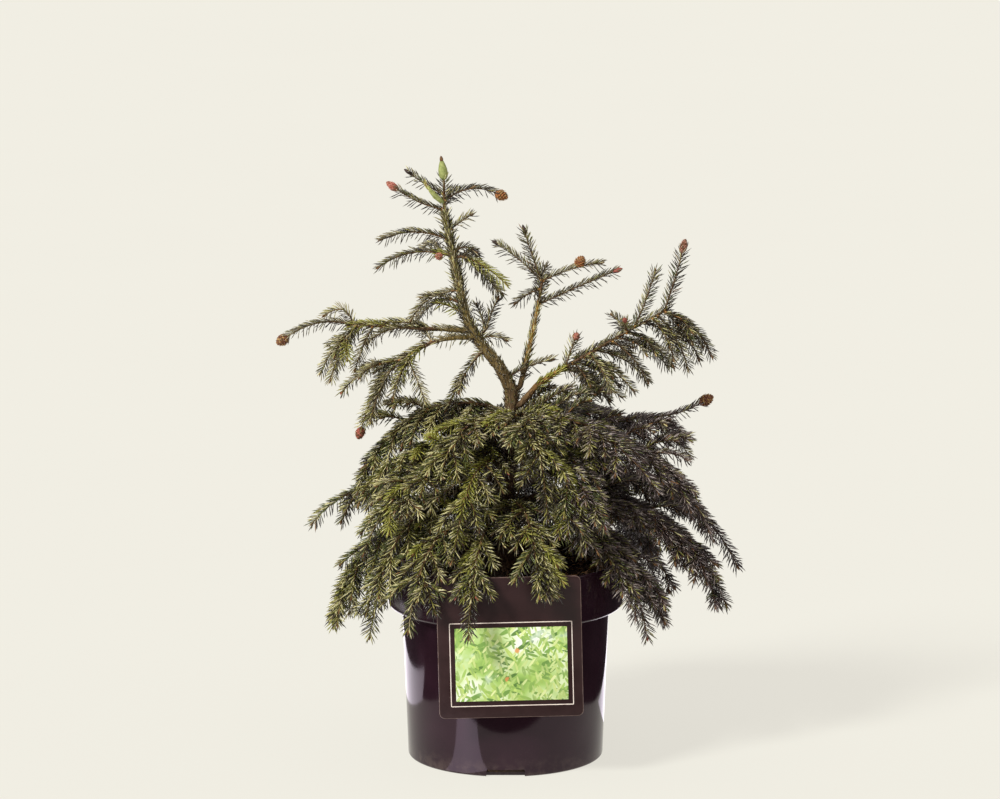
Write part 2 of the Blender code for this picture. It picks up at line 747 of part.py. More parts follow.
def grow_limb(name, height, azimuth, lift, bend, bough_length, stem_length, space):
    """The bough, where it has a length, and the stem that carries on from its tip."""
    reach = bough_length + stem_length
    radius = bough_radius(reach)
    end_radius = radius if bough_length else TWIG_RADIUS
    first_slope = lift + bend / (2 * ARC_STEPS)
    start = limb_start(height, azimuth, first_slope, end_radius, space.tree_of("trunk"))
    path = arc_path(start, azimuth, lift, bend, reach)
    if not bough_length:
        return path, make_stem("foliage_" + name, path, space)
    share = bough_length / reach
    make_bough("bough_" + name, cut_path(path, 0.0, share), radius, radius * BOUGH_TAPER, space)
    stem_path = cut_path(path, share + GAP / reach, 1.0)
    return stem_path, make_stem("foliage_" + name, stem_path, space)


def build_plant(space):
    """Trunk, boughs and stems first, so that no shoot touches one, then the shoots."""
    make_trunk(space)
    units = {
        "long": shoot_mesh("long_shoot", 3),
        "short": shoot_mesh("short_shoot", 2),
        "cone": cone_mesh("cone"),
    }
    sprays = []
    for name, height, azimuth, lift, bend, bough_length, stem_length in ARMS:
        path, stem = grow_limb(name, height, azimuth, lift, bend, bough_length, stem_length, space)
        sprays.append((path, stem, arm_shoots(path, ARM_SHOOTS[name])))
    for index, fan in enumerate(FANS):
        name, height, azimuth, lift, bend, reach, bough_length, pairs, side = fan
        stem_length = reach - bough_length
        path, stem = grow_limb(name, height, azimuth, lift, bend, bough_length, stem_length, space)
        sprays.append((path, stem, fan_shoots(path, pairs, side, random.Random(SEED + index))))
    for index, (path, stem, shoots) in enumerate(sprays):
        make_spray(stem, shoots, space, units, random.Random(SEED * 2 + index))
    for unit in units.values():
        bpy.data.meshes.remove(unit)


clear_scene()
taken_room = Space()
for solid in (make_pot(), make_soil(), make_card()):
    taken_room.take(solid.name, solid)
build_plant(taken_room)
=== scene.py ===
import random
from math import atan2, cos, hypot, pi, radians, sin, sqrt, tau

import bmesh
import bpy
import numpy as np
from mathutils import Matrix, Vector, noise
from mathutils.bvhtree import BVHTree


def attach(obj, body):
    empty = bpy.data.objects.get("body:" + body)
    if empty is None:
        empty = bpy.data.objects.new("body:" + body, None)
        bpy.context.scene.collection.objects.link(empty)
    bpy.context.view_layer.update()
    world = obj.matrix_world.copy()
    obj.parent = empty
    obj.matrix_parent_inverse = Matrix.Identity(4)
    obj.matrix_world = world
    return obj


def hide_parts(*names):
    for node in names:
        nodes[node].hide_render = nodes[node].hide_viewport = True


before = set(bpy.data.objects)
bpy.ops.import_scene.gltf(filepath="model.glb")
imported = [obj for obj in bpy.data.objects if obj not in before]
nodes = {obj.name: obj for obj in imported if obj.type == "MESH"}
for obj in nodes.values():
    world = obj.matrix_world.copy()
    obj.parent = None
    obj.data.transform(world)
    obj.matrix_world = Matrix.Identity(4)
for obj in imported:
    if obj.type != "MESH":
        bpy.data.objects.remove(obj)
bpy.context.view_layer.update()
up = Vector((0.0, 0.0, 1.0))
gap = 0.0003  # between solids that meet
turnStep = pi * (3.0 - sqrt(5.0))  # golden angle between one needle and the next


# shader helpers
class Wire:
    # one socket of a shader tree, so that shader maths reads as plain expressions

    def __init__(self, tree, socket=None):
        self.tree = tree
        self.socket = socket

    def node(self, kind, settings=None, values=None, out=0):
        made = self.tree.nodes.new(kind)
        for key, value in (settings or {}).items():
            if key == "stops":
                elements = made.color_ramp.elements
                for spare in value[2:]:
                    elements.new(0.5)
                for element, (place, tone) in zip(elements, value):
                    element.position = place
                    element.color = colourOf(tone)
            else:
                setattr(made, key, value)
        for key, value in (values or {}).items():
            if isinstance(value, Wire):
                self.tree.links.new(value.socket, made.inputs[key])
            else:
                made.inputs[key].default_value = value
        return Wire(self.tree, made.outputs[out])

    def maths(self, operation, first, second, clamp=False):
        settings = {"operation": operation, "use_clamp": clamp}
        return self.node("ShaderNodeMath", settings, {0: first, 1: second})

    def __add__(self, other):
        return self.maths("ADD", self, other)

    def __sub__(self, other):
        return self.maths("SUBTRACT", self, other)

    def __mul__(self, other):
        return self.maths("MULTIPLY", self, other)

    def __gt__(self, other):
        return self.maths("GREATER_THAN", self, other)

    def __lt__(self, other):
        return self.maths("LESS_THAN", self, other)

    __radd__ = __add__
    __rmul__ = __mul__

    def held(self):
        return self.maths("MULTIPLY", self, 1.0, clamp=True)

    def between(self, low, high, first=0.0, last=1.0):
        settings = {"interpolation_type": "SMOOTHSTEP"}
        values = {0: self, 1: low, 2: high, 3: first, 4: last}
        return self.node("ShaderNodeMapRange", settings, values)

    def noise(self, scale, detail=4.0, rough=0.55):
        values = {"Vector": self, "Scale": scale, "Detail": detail, "Roughness": rough}
        return self.node("ShaderNodeTexNoise", None, values)

    def cells(self, scale, feature="F1", out="Distance"):
        return self.node("ShaderNodeTexVoronoi", {"feature": feature}, {"Vector": self, "Scale": scale}, out)

    def moved(self, place=(0, 0, 0), turn=(0, 0, 0), scale=(1, 1, 1)):
        values = {"Vector": self, "Location": place, "Rotation": turn, "Scale": scale}
        return self.node("ShaderNodeMapping", {"vector_type": "POINT"}, values)

    def part(self, axis):
        return self.node("ShaderNodeSeparateXYZ", None, {0: self}, axis)

    def mixed(self, first, second):
        # this socket is the share of the second colour
        values = {0: self, 6: colourOf(first), 7: colourOf(second)}
        return self.node("ShaderNodeMix", {"data_type": "RGBA"}, values, 2)

    def ramp(self, *stops):
        return self.node("ShaderNodeValToRGB", {"stops": stops}, {0: self})

    def bump(self, strength, distance):
        values = {"Strength": strength, "Distance": distance, "Height": self}
        return self.node("ShaderNodeBump", None, values)


def colourOf(tone):
    # display colour 0 to 255 to a linear colour; a wire or a linear colour stays as it is
    if isinstance(tone, Wire) or len(tone) == 4:
        return tone
    shares = [value / 255.0 for value in tone]
    return *(s / 12.92 if s <= 0.04045 else ((s + 0.055) / 1.055) ** 2.4 for s in shares), 1.0


def makeFinish(name, plain, paint=None):
    # principled material: plain values on the shader's own sockets, then what varies
    finish = bpy.data.materials.new(name)
    finish.use_nodes = True
    shader = finish.node_tree.nodes["Principled BSDF"]
    for key, value in plain.items():
        shader.inputs[key].default_value = value
    if paint:
        place = Wire(finish.node_tree).node("ShaderNodeTexCoord", out="Object")
        for key, wire in paint(place).items():
            finish.node_tree.links.new(wire.socket, shader.inputs[key])
    return finish


def speckled(name, plain, grain, low, high, rough=None, relief=None, spread=0.2):
    # one noise runs from a low to a high tone; others, where given, vary roughness and relief
    def paint(place):
        made = {"Base Color": place.noise(*grain).ramp((0.5 - spread, low), (0.5 + spread, high))}
        if rough:
            made["Roughness"] = place.noise(*rough[:2]).between(*rough[2:])
        if relief:
            made["Normal"] = place.noise(*relief[:2]).bump(*relief[2:])
        return made
    return makeFinish(name, plain, paint)


# mesh helpers
def linked(name, data):
    # a new object in the scene
    made = bpy.data.objects.new(name, data)
    bpy.context.scene.collection.objects.link(made)
    return made


class Heap:
    # many small things joined in one mesh, kept as arrays until it is made

    def __init__(self):
        self.verts, self.count = [], 0
        self.faces, self.slots = {4: [], 3: []}, {4: [], 3: []}

    def add(self, verts, quads, tris, slots=0):
        # the same faces for every row of verts, each row with its own slot
        verts = np.asarray(verts, float)
        verts = verts.reshape(-1, *verts.shape[-2:])
        rows, size = verts.shape[:2]
        step = (np.arange(rows) * size + self.count)[:, None, None]
        self.verts.append(verts.reshape(-1, 3))
        for corners, faces in ((4, quads), (3, tris)):
            faces = np.asarray(faces, int).reshape(-1, corners)
            self.faces[corners].append((faces + step).reshape(-1, corners))
            self.slots[corners].append(np.repeat(np.broadcast_to(slots, rows), len(faces)))
        self.count += rows * size

    def make(self, name, finishes):
        verts = np.concatenate(self.verts)
        quads, tris = (np.concatenate(self.faces[corners]) for corners in (4, 3))
        mesh = bpy.data.meshes.new(name)
        mesh.vertices.add(len(verts))
        mesh.vertices.foreach_set("co", verts.astype(np.float32).ravel())
        mesh.loops.add(quads.size + tris.size)
        corners = np.concatenate([quads.ravel(), tris.ravel()])
        mesh.loops.foreach_set("vertex_index", corners.astype(np.int32))
        mesh.polygons.add(len(quads) + len(tris))
        starts = np.concatenate([np.arange(len(quads)) * 4, quads.size + np.arange(len(tris)) * 3])
        mesh.polygons.foreach_set("loop_start", starts.astype(np.int32))
        slots = np.concatenate(self.slots[4] + self.slots[3])
        mesh.polygons.foreach_set("material_index", slots.astype(np.int32))
        for finish in finishes:
            mesh.materials.append(finish)
        mesh.update(calc_edges=True)
        mesh.shade_smooth()
        print(name, "triangles", len(quads) * 2 + len(tris))
        return linked(name, mesh)


def unitRows(rows):
    return rows / np.maximum(np.linalg.norm(rows, axis=-1, keepdims=True), 1e-9)


def crossFrame(tangents):
    # a steady crosswise frame for a gently bent path
    spare = np.eye(3)[np.argmin(np.abs(tangents.mean(axis=0)))]
    normals = unitRows(spare - tangents * (tangents @ spare)[:, None])
    return normals, np.cross(tangents, normals)


def addTube(heap, points, radii, sides, slot=0):
    # closed tapering tube round a path
    points = np.asarray(points, float)
    radii = np.broadcast_to(radii, len(points))
    normals, sideways = crossFrame(unitRows(np.gradient(points, axis=0)))
    turns = (np.arange(sides) * tau / sides)[None, :, None]
    rim = normals[:, None] * np.cos(turns) + sideways[:, None] * np.sin(turns)
    verts = (points[:, None] + rim * radii[:, None, None]).reshape(-1, 3)
    verts = np.concatenate([verts, points[:1], points[-1:]])
    ring, after = np.arange(sides), (np.arange(sides) + 1) % sides
    starts = np.arange(len(points) - 1)[:, None] * sides
    quads = np.stack([starts + ring, starts + after, starts + sides + after, starts + sides + ring], axis=-1)
    last = (len(points) - 1) * sides
    foot, head = len(verts) - 2, len(verts) - 1
    tris = [(foot, b, a) for a, b in zip(ring, after)] + [(head, last + a, last + b) for a, b in zip(ring, after)]
    heap.add(verts, quads, tris, slot)


def smooth(mesh, angle):
    mesh.shade_smooth()
    mesh.set_sharp_from_angle(angle=radians(angle))


def pieceOf(name, bm, finish, angle=None):
    # bmesh to a linked object, faces outwards, smooth up to an angle
    bmesh.ops.recalc_face_normals(bm, faces=bm.faces[:])
    mesh = bpy.data.meshes.new(name)
    bm.to_mesh(mesh)
    bm.free()
    mesh.materials.append(finish)
    if angle:
        smooth(mesh, angle)
    return linked(name, mesh)


def cutOrJoin(piece, others, operation, angle):
    # one Boolean with each of the others, which are then removed
    for other in others:
        step = piece.modifiers.new("step", "BOOLEAN")
        step.operation = operation
        step.solver = "EXACT"
        step.object = other
    bpy.context.view_layer.update()
    graph = bpy.context.evaluated_depsgraph_get()
    piece.data = bpy.data.meshes.new_from_object(piece.evaluated_get(graph))
    piece.modifiers.clear()
    for other in others:
        bpy.data.objects.remove(other, do_unlink=True)
    piece.data.name = piece.name
    smooth(piece.data, angle)


def move(bm, matrix):
    bmesh.ops.transform(bm, matrix=matrix, verts=bm.verts[:])


def boxOf(size):
    bm = bmesh.new()
    bmesh.ops.create_cube(bm, size=1.0)
    bmesh.ops.scale(bm, vec=size, verts=bm.verts[:])
    return bm


def flatOf(width, depth):
    bm = bmesh.new()
    bmesh.ops.create_grid(bm, x_segments=1, y_segments=1, size=0.5)
    bmesh.ops.scale(bm, vec=(width, depth, 1.0), verts=bm.verts[:])
    return bm


def bevel(bm, geom, offset, segments, affect="EDGES"):
    bmesh.ops.bevel(bm, geom=geom, offset=offset, affect=affect, segments=segments, profile=0.5, material=-1)


def reachAlong(edge, axis):
    first, last = edge.verts
    return abs(first.co[axis] - last.co[axis])


def turned(profile, steps):
    # a profile of radii and heights spun round the upright axis
    bm = bmesh.new()
    verts = [bm.verts.new((radius, 0.0, height)) for radius, height in profile]
    edges = [bm.edges.new(pair) for pair in zip(verts, verts[1:])]
    bmesh.ops.spin(
        bm, geom=verts + edges, cent=(0, 0, 0), axis=(0, 0, 1), angle=tau,
        steps=steps, use_merge=True,
    )
    bmesh.ops.remove_doubles(bm, verts=bm.verts[:], dist=0.00001)
    return bm


def belongs(piece, slot, *replaced):
    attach(piece, "root")
    if replaced:
        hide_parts(*replaced)


# camera, light and floor
view = {
    "target": (-0.0052, 0.0, 0.3414), "lift": 11.8, "distance": 6.0, "lens": 230.4, "sensor": 36.0,
    "near": 0.1, "far": 60.0,
}
light = {
    "world": (1.0, 0.91, 0.95, 1.0), "worldStrength": 0.38,
    "sunTurn": (-0.62, -0.62, 0.72), "sunStrength": 3.4, "sunSoftness": 13.0, "sunColour": (1.0, 0.985, 0.93),
    "floor": (113, 114, 110), "floorSize": 40.0, "floorGlow": (241, 238, 227), "glowStrength": 0.8,
    "board": (34, 24, 32), "boardHeight": 0.003, "sheetHeight": 0.002,
    "sheetGlow": (0.95, 0.88, 0.97, 1.0), "sheetStrength": 2.4,
    # dark boards and bright sheets that lie on the floor: one edge, how far they reach to its left, and how
    # much wider they are at its far end
    "boards": (
        ("frontBoard", (-0.15, -0.208), (0.15, -0.208), -2.9, 1.0),
        ("rightBoard", (0.36, -0.5), (0.1, 0.75), -2.0, 1.0),
        ("leftBoard", (-0.27, -0.6), (-0.27, 0.03), 0.27, 1.0),
        ("leftBackBoard", (-0.4, -0.032), (-0.178, 0.545), 0.21, 1.0),
    ),
    "sheets": (
        ("leftSheet", (-0.3, -0.015), (0.122, 0.544), 0.35, 1.0),
        ("farSheet", (-0.62, 0.4), (-0.08, 0.6), 0.3, 1.0),
        ("rightSheet", (0.08, 0.1), (0.03, 0.75), -0.14, 1.0),
        ("frontSheet", (-0.051, -0.069), (-0.238, -0.249), 0.044, 2.6),
    ),
}


def makeStage():
    lift = radians(view["lift"])
    camera = linked("camera", bpy.data.cameras.new("camera"))
    camera.data.lens = view["lens"]
    camera.data.sensor_width = view["sensor"]
    camera.data.clip_start = view["near"]
    camera.data.clip_end = view["far"]
    back = Vector((0.0, -cos(lift), sin(lift)))
    camera.location = Vector(view["target"]) + back * view["distance"]
    camera.rotation_euler = (pi / 2 - lift, 0.0, 0.0)
    bpy.context.scene.camera = camera
    bpy.context.scene.view_settings.view_transform = "Standard"

    bm = bmesh.new()
    bmesh.ops.create_grid(bm, x_segments=2, y_segments=2, size=light["floorSize"])
    cream = colourOf(light["floor"])
    deeper = (*(0.985 * share for share in cream[:3]), 1.0)
    # the sweep is lit from below as well, which keeps its shadows faint
    plain = {
        "Roughness": 0.9, "Specular IOR Level": 0.0,
        "Emission Color": colourOf(light["floorGlow"]), "Emission Strength": light["glowStrength"],
    }
    pieceOf("floor", bm, makeFinish("paleFloor", plain, lambda place: {
        "Base Color": place.noise(3.0, 2.0).between(0.3, 0.7).mixed(cream, deeper),
    }))

    world = bpy.data.worlds.new("studio")
    bpy.context.scene.world = world
    world.use_nodes = True
    sky = world.node_tree.nodes["Background"]
    sky.inputs["Color"].default_value = light["world"]
    sky.inputs["Strength"].default_value = light["worldStrength"]

    sun = bpy.data.lights.new("key", "SUN")
    sun.energy = light["sunStrength"]
    sun.angle = radians(light["sunSoftness"])
    sun.color = light["sunColour"]
    linked("key", sun).rotation_euler = Vector(light["sunTurn"]).to_track_quat("Z", "Y").to_euler()

    # dark studio boards and bright sheets that only gloss sees give the pot its deep black and pale edges
    dark = makeFinish("darkBoard", {"Roughness": 0.9, "Base Color": colourOf(light["board"])})
    bright = makeFinish("brightSheet", {
        "Base Color": (0, 0, 0, 1), "Emission Color": light["sheetGlow"],
        "Emission Strength": light["sheetStrength"],
    })
    flats = [(*board, light["boardHeight"], dark) for board in light["boards"]]
    flats += [(*sheet, light["sheetHeight"], bright) for sheet in light["sheets"]]
    for name, first, last, depth, flare, height, finish in flats:
        bm = flatOf(1.0, 1.0)
        bmesh.ops.scale(bm, vec=(1.0, flare, 1.0), verts=[vert for vert in bm.verts if vert.co.x > 0])
        bmesh.ops.translate(bm, vec=(0.5, 0.5, 0.0), verts=bm.verts[:])
        along = Vector(last) - Vector(first)
        bmesh.ops.scale(bm, vec=(along.length, depth, 1.0), verts=bm.verts[:])
        turn = Matrix.Rotation(atan2(along.y, along.x), 4, "Z")
        move(bm, Matrix.Translation((*first, height)) @ turn)
        board = pieceOf(name, bm, finish)
        board.visible_camera = board.visible_diffuse = board.visible_shadow = False
        board.visible_transmission = board.visible_volume_scatter = False


makeStage()
print("stage ready")


# pot
pot = {
    "baseRadius": 0.092, "neckRadius": 0.0975, "neckHeight": 0.1455, "collarFoot": 0.1105,
    "collarTop": 0.1125, "height": 0.1925, "wall": 0.0024, "floor": 0.003, "steps": 144, "sharp": 38,
    "slots": 3, "slotWidth": 0.036, "slotHeight": 0.007, "slotDepth": 0.012, "slotRound": 0.0016,
    "rimRound": 0.0009, "stepRound": 0.0032, "baseRound": 0.0026, "beadRound": 0.0006, "wallRings": 12,
}


def arc(centre, radius, first, last, steps):
    # profile points round a corner, angles in degrees
    turns = [radians(first + (last - first) * step / steps) for step in range(steps + 1)]
    return [(centre[0] + radius * cos(turn), centre[1] + radius * sin(turn)) for turn in turns]


def potProfile():
    wall, step, top, height, floor = (pot[key] for key in ("wall", "neckHeight", "collarTop", "height", "floor"))
    rim, bend, base, bead = (pot[key] for key in ("rimRound", "stepRound", "baseRound", "beadRound"))
    radius, neck, foot = pot["baseRadius"], pot["neckRadius"], pot["collarFoot"]
    bore, lip, edge = radius - wall, top - wall, height - rim
    inside = [
        (0.0, floor), (0.03, floor), (bore - 0.003, floor), (bore - 0.0008, floor + 0.0008), (bore, floor + 0.003),
        (neck - wall, step + wall - 0.002), (neck - wall + 0.0015, step + wall),
        (foot - wall - 0.0015, step + 1.5 * wall), (foot - wall, step + 1.6 * wall + 0.0015),
        (lip - 0.0001, height - 0.01),
    ]
    rimRound = arc((lip + rim, edge), rim, 180, 90, 5) + arc((top - rim, edge), rim, 90, 0, 5)
    collar = [(top, height - 0.0042), (top - 0.0003, height - 0.005), (foot + 0.0001, step + bend + 0.004)]
    corner = arc((foot - bend, step + bend), bend, 0, -62, 7)
    corner += arc((foot - bend + 0.0005, step + bead), bead, -60, -170, 4)
    body = [(neck + 0.0016, step + 0.0008), (neck + 0.0003, step + 0.0002), (neck, step - 0.0012)]
    for ring in range(1, pot["wallRings"]):
        share = ring / pot["wallRings"]
        body.append((neck + (radius - neck) * share, step * (1 - share) + base * share))
    ground = arc((radius - base, base), base, 0, -90, 6)
    under = [(0.074, 0.0), (0.0732, 0.0007), (0.034, 0.0007), (0.0334, 0.0002), (0.0, 0.0002)]
    return inside + rimRound + collar + corner + body + ground + under


def makePot():
    piece = pieceOf("potShell", turned(potProfile(), pot["steps"]), potFinish(), pot["sharp"])
    cutters = []
    for slot in range(pot["slots"]):
        block = boxOf((pot["slotDepth"], pot["slotWidth"], 2 * pot["slotHeight"]))
        bevel(block, [edge for edge in block.edges if reachAlong(edge, 0) > 0.001], pot["slotRound"], 4)
        turn = Matrix.Rotation(tau * slot / pot["slots"] - pi / 2, 4, "Z")
        place = turn @ Matrix.Translation((pot["baseRadius"] + 0.004 - pot["slotDepth"] / 2, 0, 0))
        move(block, place)
        cutters.append(pieceOf("slotCutter", block, piece.data.materials[0]))
    cutOrJoin(piece, cutters, "DIFFERENCE", pot["sharp"])
    belongs(piece, "pot", "pot")


def potFinish():
    # blown black plastic: soft mottling, faint draw lines, dust low down and in specks
    def paint(place):
        broad = place.noise(18.0, 3.0)
        fine = place.noise(900.0, 3.0)
        drawn = place.moved(scale=(1.0, 1.0, 0.06)).noise(340.0)
        specks = (place.cells(520.0) < 0.13) * (place.noise(60.0) > 0.56)
        foot = place.part(2).between(0.0, 0.022, 1.0, 0.0)
        dust = (foot * place.noise(120.0, 5.0).between(0.38, 0.7) * 0.55 + specks * 0.35).held()
        scuff = place.moved(turn=(0.3, 0.2, 0.5), scale=(1.0, 1.0, 0.18)).noise(150.0, 6.0, 0.7).between(0.66, 0.74)
        colour = broad.between(0.3, 0.7).mixed((33, 17, 25), (42, 23, 33))
        colour = (dust * 0.55).mixed(colour, (104, 90, 82))
        rough = broad.between(0.25, 0.75, 0.05, 0.09) + drawn * 0.03 + scuff * 0.1 + dust * 0.3
        relief = drawn * 0.5 + fine * 0.25 + scuff * 0.2
        return {"Base Color": colour, "Roughness": rough, "Normal": relief.bump(0.08, 0.0003)}
    plain = {"Specular IOR Level": 0.38, "IOR": 1.5, "Specular Tint": (1.0, 0.86, 0.96, 1.0)}
    return makeFinish("blackPotPlastic", plain, paint)


makePot()
print("pot ready")


# soil
soil = {
    "top": 0.1767, "rings": 34, "steps": 96, "bump": 0.0026, "mound": 0.0022, "moundRadius": 0.03,
    "crumbs": 1500, "litter": 260, "clear": 0.012, "needleWidth": 0.0004, "needleRise": 0.0006,
}
# the three long sides of a needle, from its root ring to its elbow ring
needleQuads = ((0, 1, 4, 3), (1, 2, 5, 4), (2, 0, 3, 5))


def soilFinish():
    def paint(place):
        grain = place.noise(260.0, 8.0, 0.7)
        clump = place.noise(45.0)
        colour = grain.ramp((0.3, (28, 19, 14)), (0.52, (58, 41, 28)), (0.75, (98, 72, 48)))
        colour = clump.between(0.4, 0.7).mixed(colour, (42, 29, 21))
        fibres = place.moved(turn=(0.4, 0.9, 0.2), scale=(1.0, 0.12, 1.0)).noise(420.0, 3.0).between(0.64, 0.7)
        return {
            "Base Color": (fibres * 0.7).mixed(colour, (142, 112, 80)),
            "Roughness": grain.between(0.2, 0.8, 0.98, 0.82),
            "Normal": (grain * 0.8 + clump).bump(0.75, 0.0012),
        }
    return makeFinish("barkCompost", {"Specular IOR Level": 0.25}, paint)


def makeSoil():
    finish = soilFinish()
    wall, step, top, foot = pot["wall"], pot["neckHeight"], soil["top"], pot["floor"] + gap
    collar, base = pot["collarFoot"] - wall, pot["baseRadius"] - wall - gap
    edge = collar + (pot["collarTop"] - pot["collarFoot"]) * (top - step) / (pot["height"] - step) - gap
    profile = [
        (0.0, foot), (base - 0.003, foot), (base, foot + 0.003),
        (pot["neckRadius"] - wall - gap, step + wall), (collar - gap, step + 1.7 * wall),
    ] + [(edge * (1 - ring / soil["rings"]), top) for ring in range(soil["rings"] + 1)]
    bm = turned(profile, soil["steps"])
    for vert in bm.verts:
        if vert.co.z > top - 0.0005:
            out = hypot(vert.co.x, vert.co.y)
            rough = noise.noise(vert.co * 38.0) * 1.3 + noise.noise(vert.co * 190.0) * 0.7
            vert.co.z += soil["bump"] * rough + soil["mound"] * max(0.0, 1.0 - out / soil["moundRadius"])
    belongs(pieceOf("soilBed", bm, finish, 60), "soil", "soil")

    # loose crumbs of bark and peat
    unit = bmesh.new()
    bmesh.ops.create_icosphere(unit, subdivisions=1, radius=1.0)
    unitVerts = np.array([vert.co for vert in unit.verts])
    unitTris = [[vert.index for vert in face.verts] for face in unit.faces]
    unit.free()
    rng = np.random.default_rng(77)
    heap = Heap()
    for crumb in range(soil["crumbs"]):
        out = edge * 0.985 * sqrt(rng.random())
        turn = rng.random() * tau
        if out < soil["clear"]:
            continue
        size = 0.0008 + 0.0026 * rng.random() ** 2.2
        shape = unitVerts * (size * rng.uniform(0.5, 1.3, 3)) * rng.uniform(0.8, 1.2, (len(unitVerts), 1))
        spin = np.array(Matrix.Rotation(rng.random() * tau, 3, Vector(rng.normal(size=3))))
        out = min(out, edge - size * 1.4)
        middle = np.array([out * cos(turn), out * sin(turn), top + 0.0012 + size * 0.3])
        heap.add(shape @ spin.T + middle, [], unitTris, int(rng.integers(0, 3)))
    belongs(heap.make("soilCrumbs", [
        finish,
        speckled("barkChip", {"Roughness": 0.85}, (700.0, 5.0), (70, 48, 33), (118, 86, 58),
                 relief=(900.0, 5.0, 0.5, 0.0004)),
        speckled("darkPeat", {"Roughness": 0.95}, (600.0, 5.0), (28, 21, 17), (60, 45, 34),
                 relief=(900.0, 5.0, 0.6, 0.0005)),
    ]), "soil")

    # shed needles lie where they fell
    count = soil["litter"]
    out = (edge - soil["clear"]) * np.sqrt(rng.random(count))
    turn, lie = rng.random(count) * tau, rng.random(count) * tau
    hub = np.stack([out * np.cos(turn), out * np.sin(turn), np.full(count, top + 0.0034)], axis=1)
    aim = np.stack([np.cos(lie), np.sin(lie), rng.normal(0.0, 0.12, count)], axis=1)
    aim = aim * rng.uniform(0.0035, 0.005, (count, 1))
    across = unitRows(np.cross(aim, [0.0, 0.0, 1.0])) * soil["needleWidth"]
    sides = (across, -across, np.array([0.0, 0.0, soil["needleRise"]]))
    verts = np.stack([hub + end + side for end in (-aim, aim) for side in sides], axis=1)
    litter = Heap()
    litter.add(verts, needleQuads, ((0, 2, 1), (3, 4, 5)))
    belongs(litter.make("soilLitter", [speckled(
        "shedNeedle", {"Specular IOR Level": 0.35}, (300.0, 3.0), (112, 78, 44), (168, 126, 78),
        (800.0, 2.0, 0.25, 0.75, 0.55, 0.75), spread=0.15,
    )]), "soil")


makeSoil()
print("soil ready")


# card
card = {
    "width": 0.134, "top": 0.1975, "foot": 0.0635, "thick": 0.0014, "centreX": 0.004,
    "roll": 1.4, "corner": 0.0055, "edge": 0.00055, "sharp": 35,
    "hookWidth": 0.056, "hookDrop": 0.012, "hookThick": 0.0012, "hookEdge": 0.0002,
    "pictureShift": (0.0011, -0.0159), "picture": (0.1042, 0.0698), "frame": (0.1142, 0.08), "line": 0.0008,
    "frameCorner": 0.0012, "proud": 0.00016,
}
cardMiddle = Vector((
    card["centreX"], -(pot["collarTop"] + gap + card["thick"] / 2), (card["top"] + card["foot"]) / 2,
))
cardFront = cardMiddle.y - card["thick"] / 2
cardTurn = Matrix.Rotation(-radians(card["roll"]), 4, "Y")


def plate(size, corner, edge):
    # upright plate with round corners and softened edges, facing -Y
    bm = boxOf(size)
    bevel(bm, [line for line in bm.edges if reachAlong(line, 1) > size[1] / 2], corner, 8)
    rims = [
        line for line in bm.edges
        if reachAlong(line, 1) < size[1] / 4 and line.is_manifold and abs(line.calc_face_angle(0.0)) > 0.8
    ]
    bevel(bm, rims, edge, 2)
    return bm


def ontoCard(bm, shift, depth, turn=Matrix()):
    # from the card's own frame to the part's
    place = Matrix.Translation(cardMiddle) @ cardTurn @ Matrix.Translation((shift[0], depth, shift[1]))
    move(bm, place @ turn)


def cardFinish():
    def paint(place):
        mottled = place.noise(60.0)
        grain = place.noise(1400.0, 2.0)
        rub = place.moved(turn=(0, 0.7, 0), scale=(0.25, 1.0, 1.0)).noise(220.0, 6.0, 0.7).between(0.62, 0.72)
        colour = mottled.between(0.3, 0.7).mixed((42, 23, 24), (50, 29, 30))
        return {
            "Base Color": (rub * 0.22).mixed(colour, (84, 66, 64)),
            "Roughness": mottled.between(0.2, 0.8, 0.3, 0.42) + rub * 0.15,
            "Normal": (grain + mottled).bump(0.12, 0.0003),
        }
    return makeFinish("darkCardPlastic", {"Specular IOR Level": 0.32}, paint)


